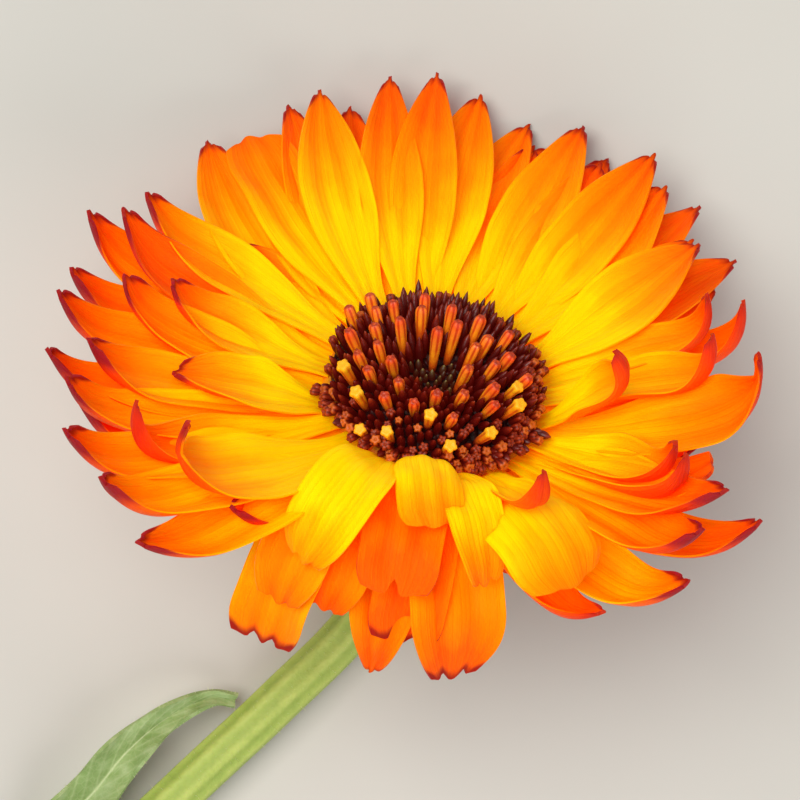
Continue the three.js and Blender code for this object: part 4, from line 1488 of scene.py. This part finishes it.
def hairs_on(name, roots, place, node):
    """A hair at each root, which is a point in millimetres and the way out of the skin there."""
    hairs = []
    for root, way in roots:
        bent = Vector(way) + Vector(hair_draws.uniform(-HAIR_TILT, HAIR_TILT, 3))
        bent.normalize()
        length = HAIR_LENGTH * hair_draws.uniform(*HAIR_LENGTH_RANGE)
        if (place @ (Vector(root) + length * bent)).z < 0:
            continue
        hair = copy_of(hair_blank)
        hair.data.transform(
            place
            @ Matrix.Translation(Vector(root) - HAIR_SINK * bent)
            @ bent.to_track_quat("Z", "Y").to_matrix().to_4x4()
            @ Matrix.Diagonal((HAIR_RADIUS, HAIR_RADIUS, length, 1))
        )
        hairs.append(hair)
    piece = joined(hairs, name)
    piece.data.materials.append(hair_material)
    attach(piece, "root")
    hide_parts(node)


stem_roots = []
for _ in range(STEM_HAIRS):
    ring_index = int(hair_draws.uniform(*HAIRY_STEM) * (STEM_RINGS - 1))
    angle = hair_draws.uniform(0, math.tau)
    way = math.cos(angle) * stem_across[ring_index] + math.sin(angle) * stem_up[ring_index]
    skin = stem_radii[ring_index] + RIB_DEPTH * math.cos(RIB_COUNT * angle)
    stem_roots.append((stem_places[ring_index] + skin * way, way))
hairs_on("stem_hairs", stem_roots, flower_place, "stem")

bract_roots = []
for points in bract_middles:
    for _ in range(BRACT_HAIRS):
        spot = points[int(hair_draws.uniform(0, len(points)))]
        down = Vector((0, 0, -1)) + BRACT_HAIR_LEAN * Vector(spot).normalized()
        bract_roots.append((spot + [0, 0, -BRACT_THICKNESS / 2], down.normalized()))
hairs_on("bract_hairs", bract_roots, head_place, "involucre")

leaf_roots = []
for _ in range(LEAF_HAIRS):
    edge = -1 if hair_draws.uniform(0, 1) < 0.5 else 1
    rows = np.where((leaf_side == edge) & (leaf_share < HAIRY_LEAF))[0]
    spot = int(rows[int(hair_draws.uniform(0, len(rows)))])
    outward = LEAF_HAIR_LEAN * leaf_upways[leaf_row[spot]] - edge * leaf_crossways[leaf_row[spot]]
    leaf_roots.append((leaf_points[spot], outward))
hairs_on("leaf_hairs", leaf_roots, flower_place, "leaf")
bpy.data.objects.remove(hair_blank)

# Surface and light.
# The flower lies on a plain pale surface, under a large soft light from the upper left and a weaker one
# from the near side. The camera looks down on it from 42 centimetres above the disc, tipped as it is.
CAMERA_LENS = 212.4
CAMERA_SENSOR = 36
FLOOR_SIZE = 3.0
LIGHT_AIM = (0, 0, 0.02)
LIGHT_SIZE = 0.6

bpy.ops.object.select_all(action="DESELECT")
bpy.ops.mesh.primitive_plane_add(size=FLOOR_SIZE)
floor = bpy.context.object
floor.name = "floor"
floor_finish = Finish("floor", Specular_IOR_Level=0.2)
floor_grain = floor_finish.noise(0.02)
floor.data.materials.append(
    floor_finish.wear(
        Base_Color=floor_finish.ramp(floor_grain, [(0.3, "c0c0bc"), (0.7, "c6c6c2")]),
        Roughness=floor_grain * 0.1 + 0.7,
    )
)


def soft_light(name, place, power, tint):
    """A square soft light, in metres and watts, turned towards the flower."""
    data = bpy.data.lights.new(name, "AREA")
    data.size = LIGHT_SIZE
    data.energy = power
    data.color = colour(tint)[:3]
    light = bpy.data.objects.new(name, data)
    bpy.context.scene.collection.objects.link(light)
    light.location = place
    light.rotation_euler = (Vector(LIGHT_AIM) - Vector(place)).to_track_quat("-Z", "Y").to_euler()


soft_light("key", (-0.29, 0.2, 0.83), 7.4, "fffaf0")
soft_light("fill", (0.3, -0.6, 0.55), 3.0, "fffaf4")

world = bpy.data.worlds.new("studio")
world.use_nodes = True
backdrop = next(n for n in world.node_tree.nodes if n.type == "BACKGROUND")
backdrop.inputs["Color"].default_value = colour("f4f5f7")
backdrop.inputs["Strength"].default_value = 0.38
bpy.context.scene.world = world
bpy.context.scene.view_settings.view_transform = "Standard"

camera_data = bpy.data.cameras.new("camera")
camera_data.lens = CAMERA_LENS
camera_data.sensor_width = CAMERA_SENSOR
camera_data.clip_start = 0.01
camera = bpy.data.objects.new("camera", camera_data)
bpy.context.scene.collection.objects.link(camera)
camera.location = flower_place @ Vector(CAMERA_PLACE)
camera.rotation_euler = rest_turn.to_euler()
bpy.context.scene.camera = camera
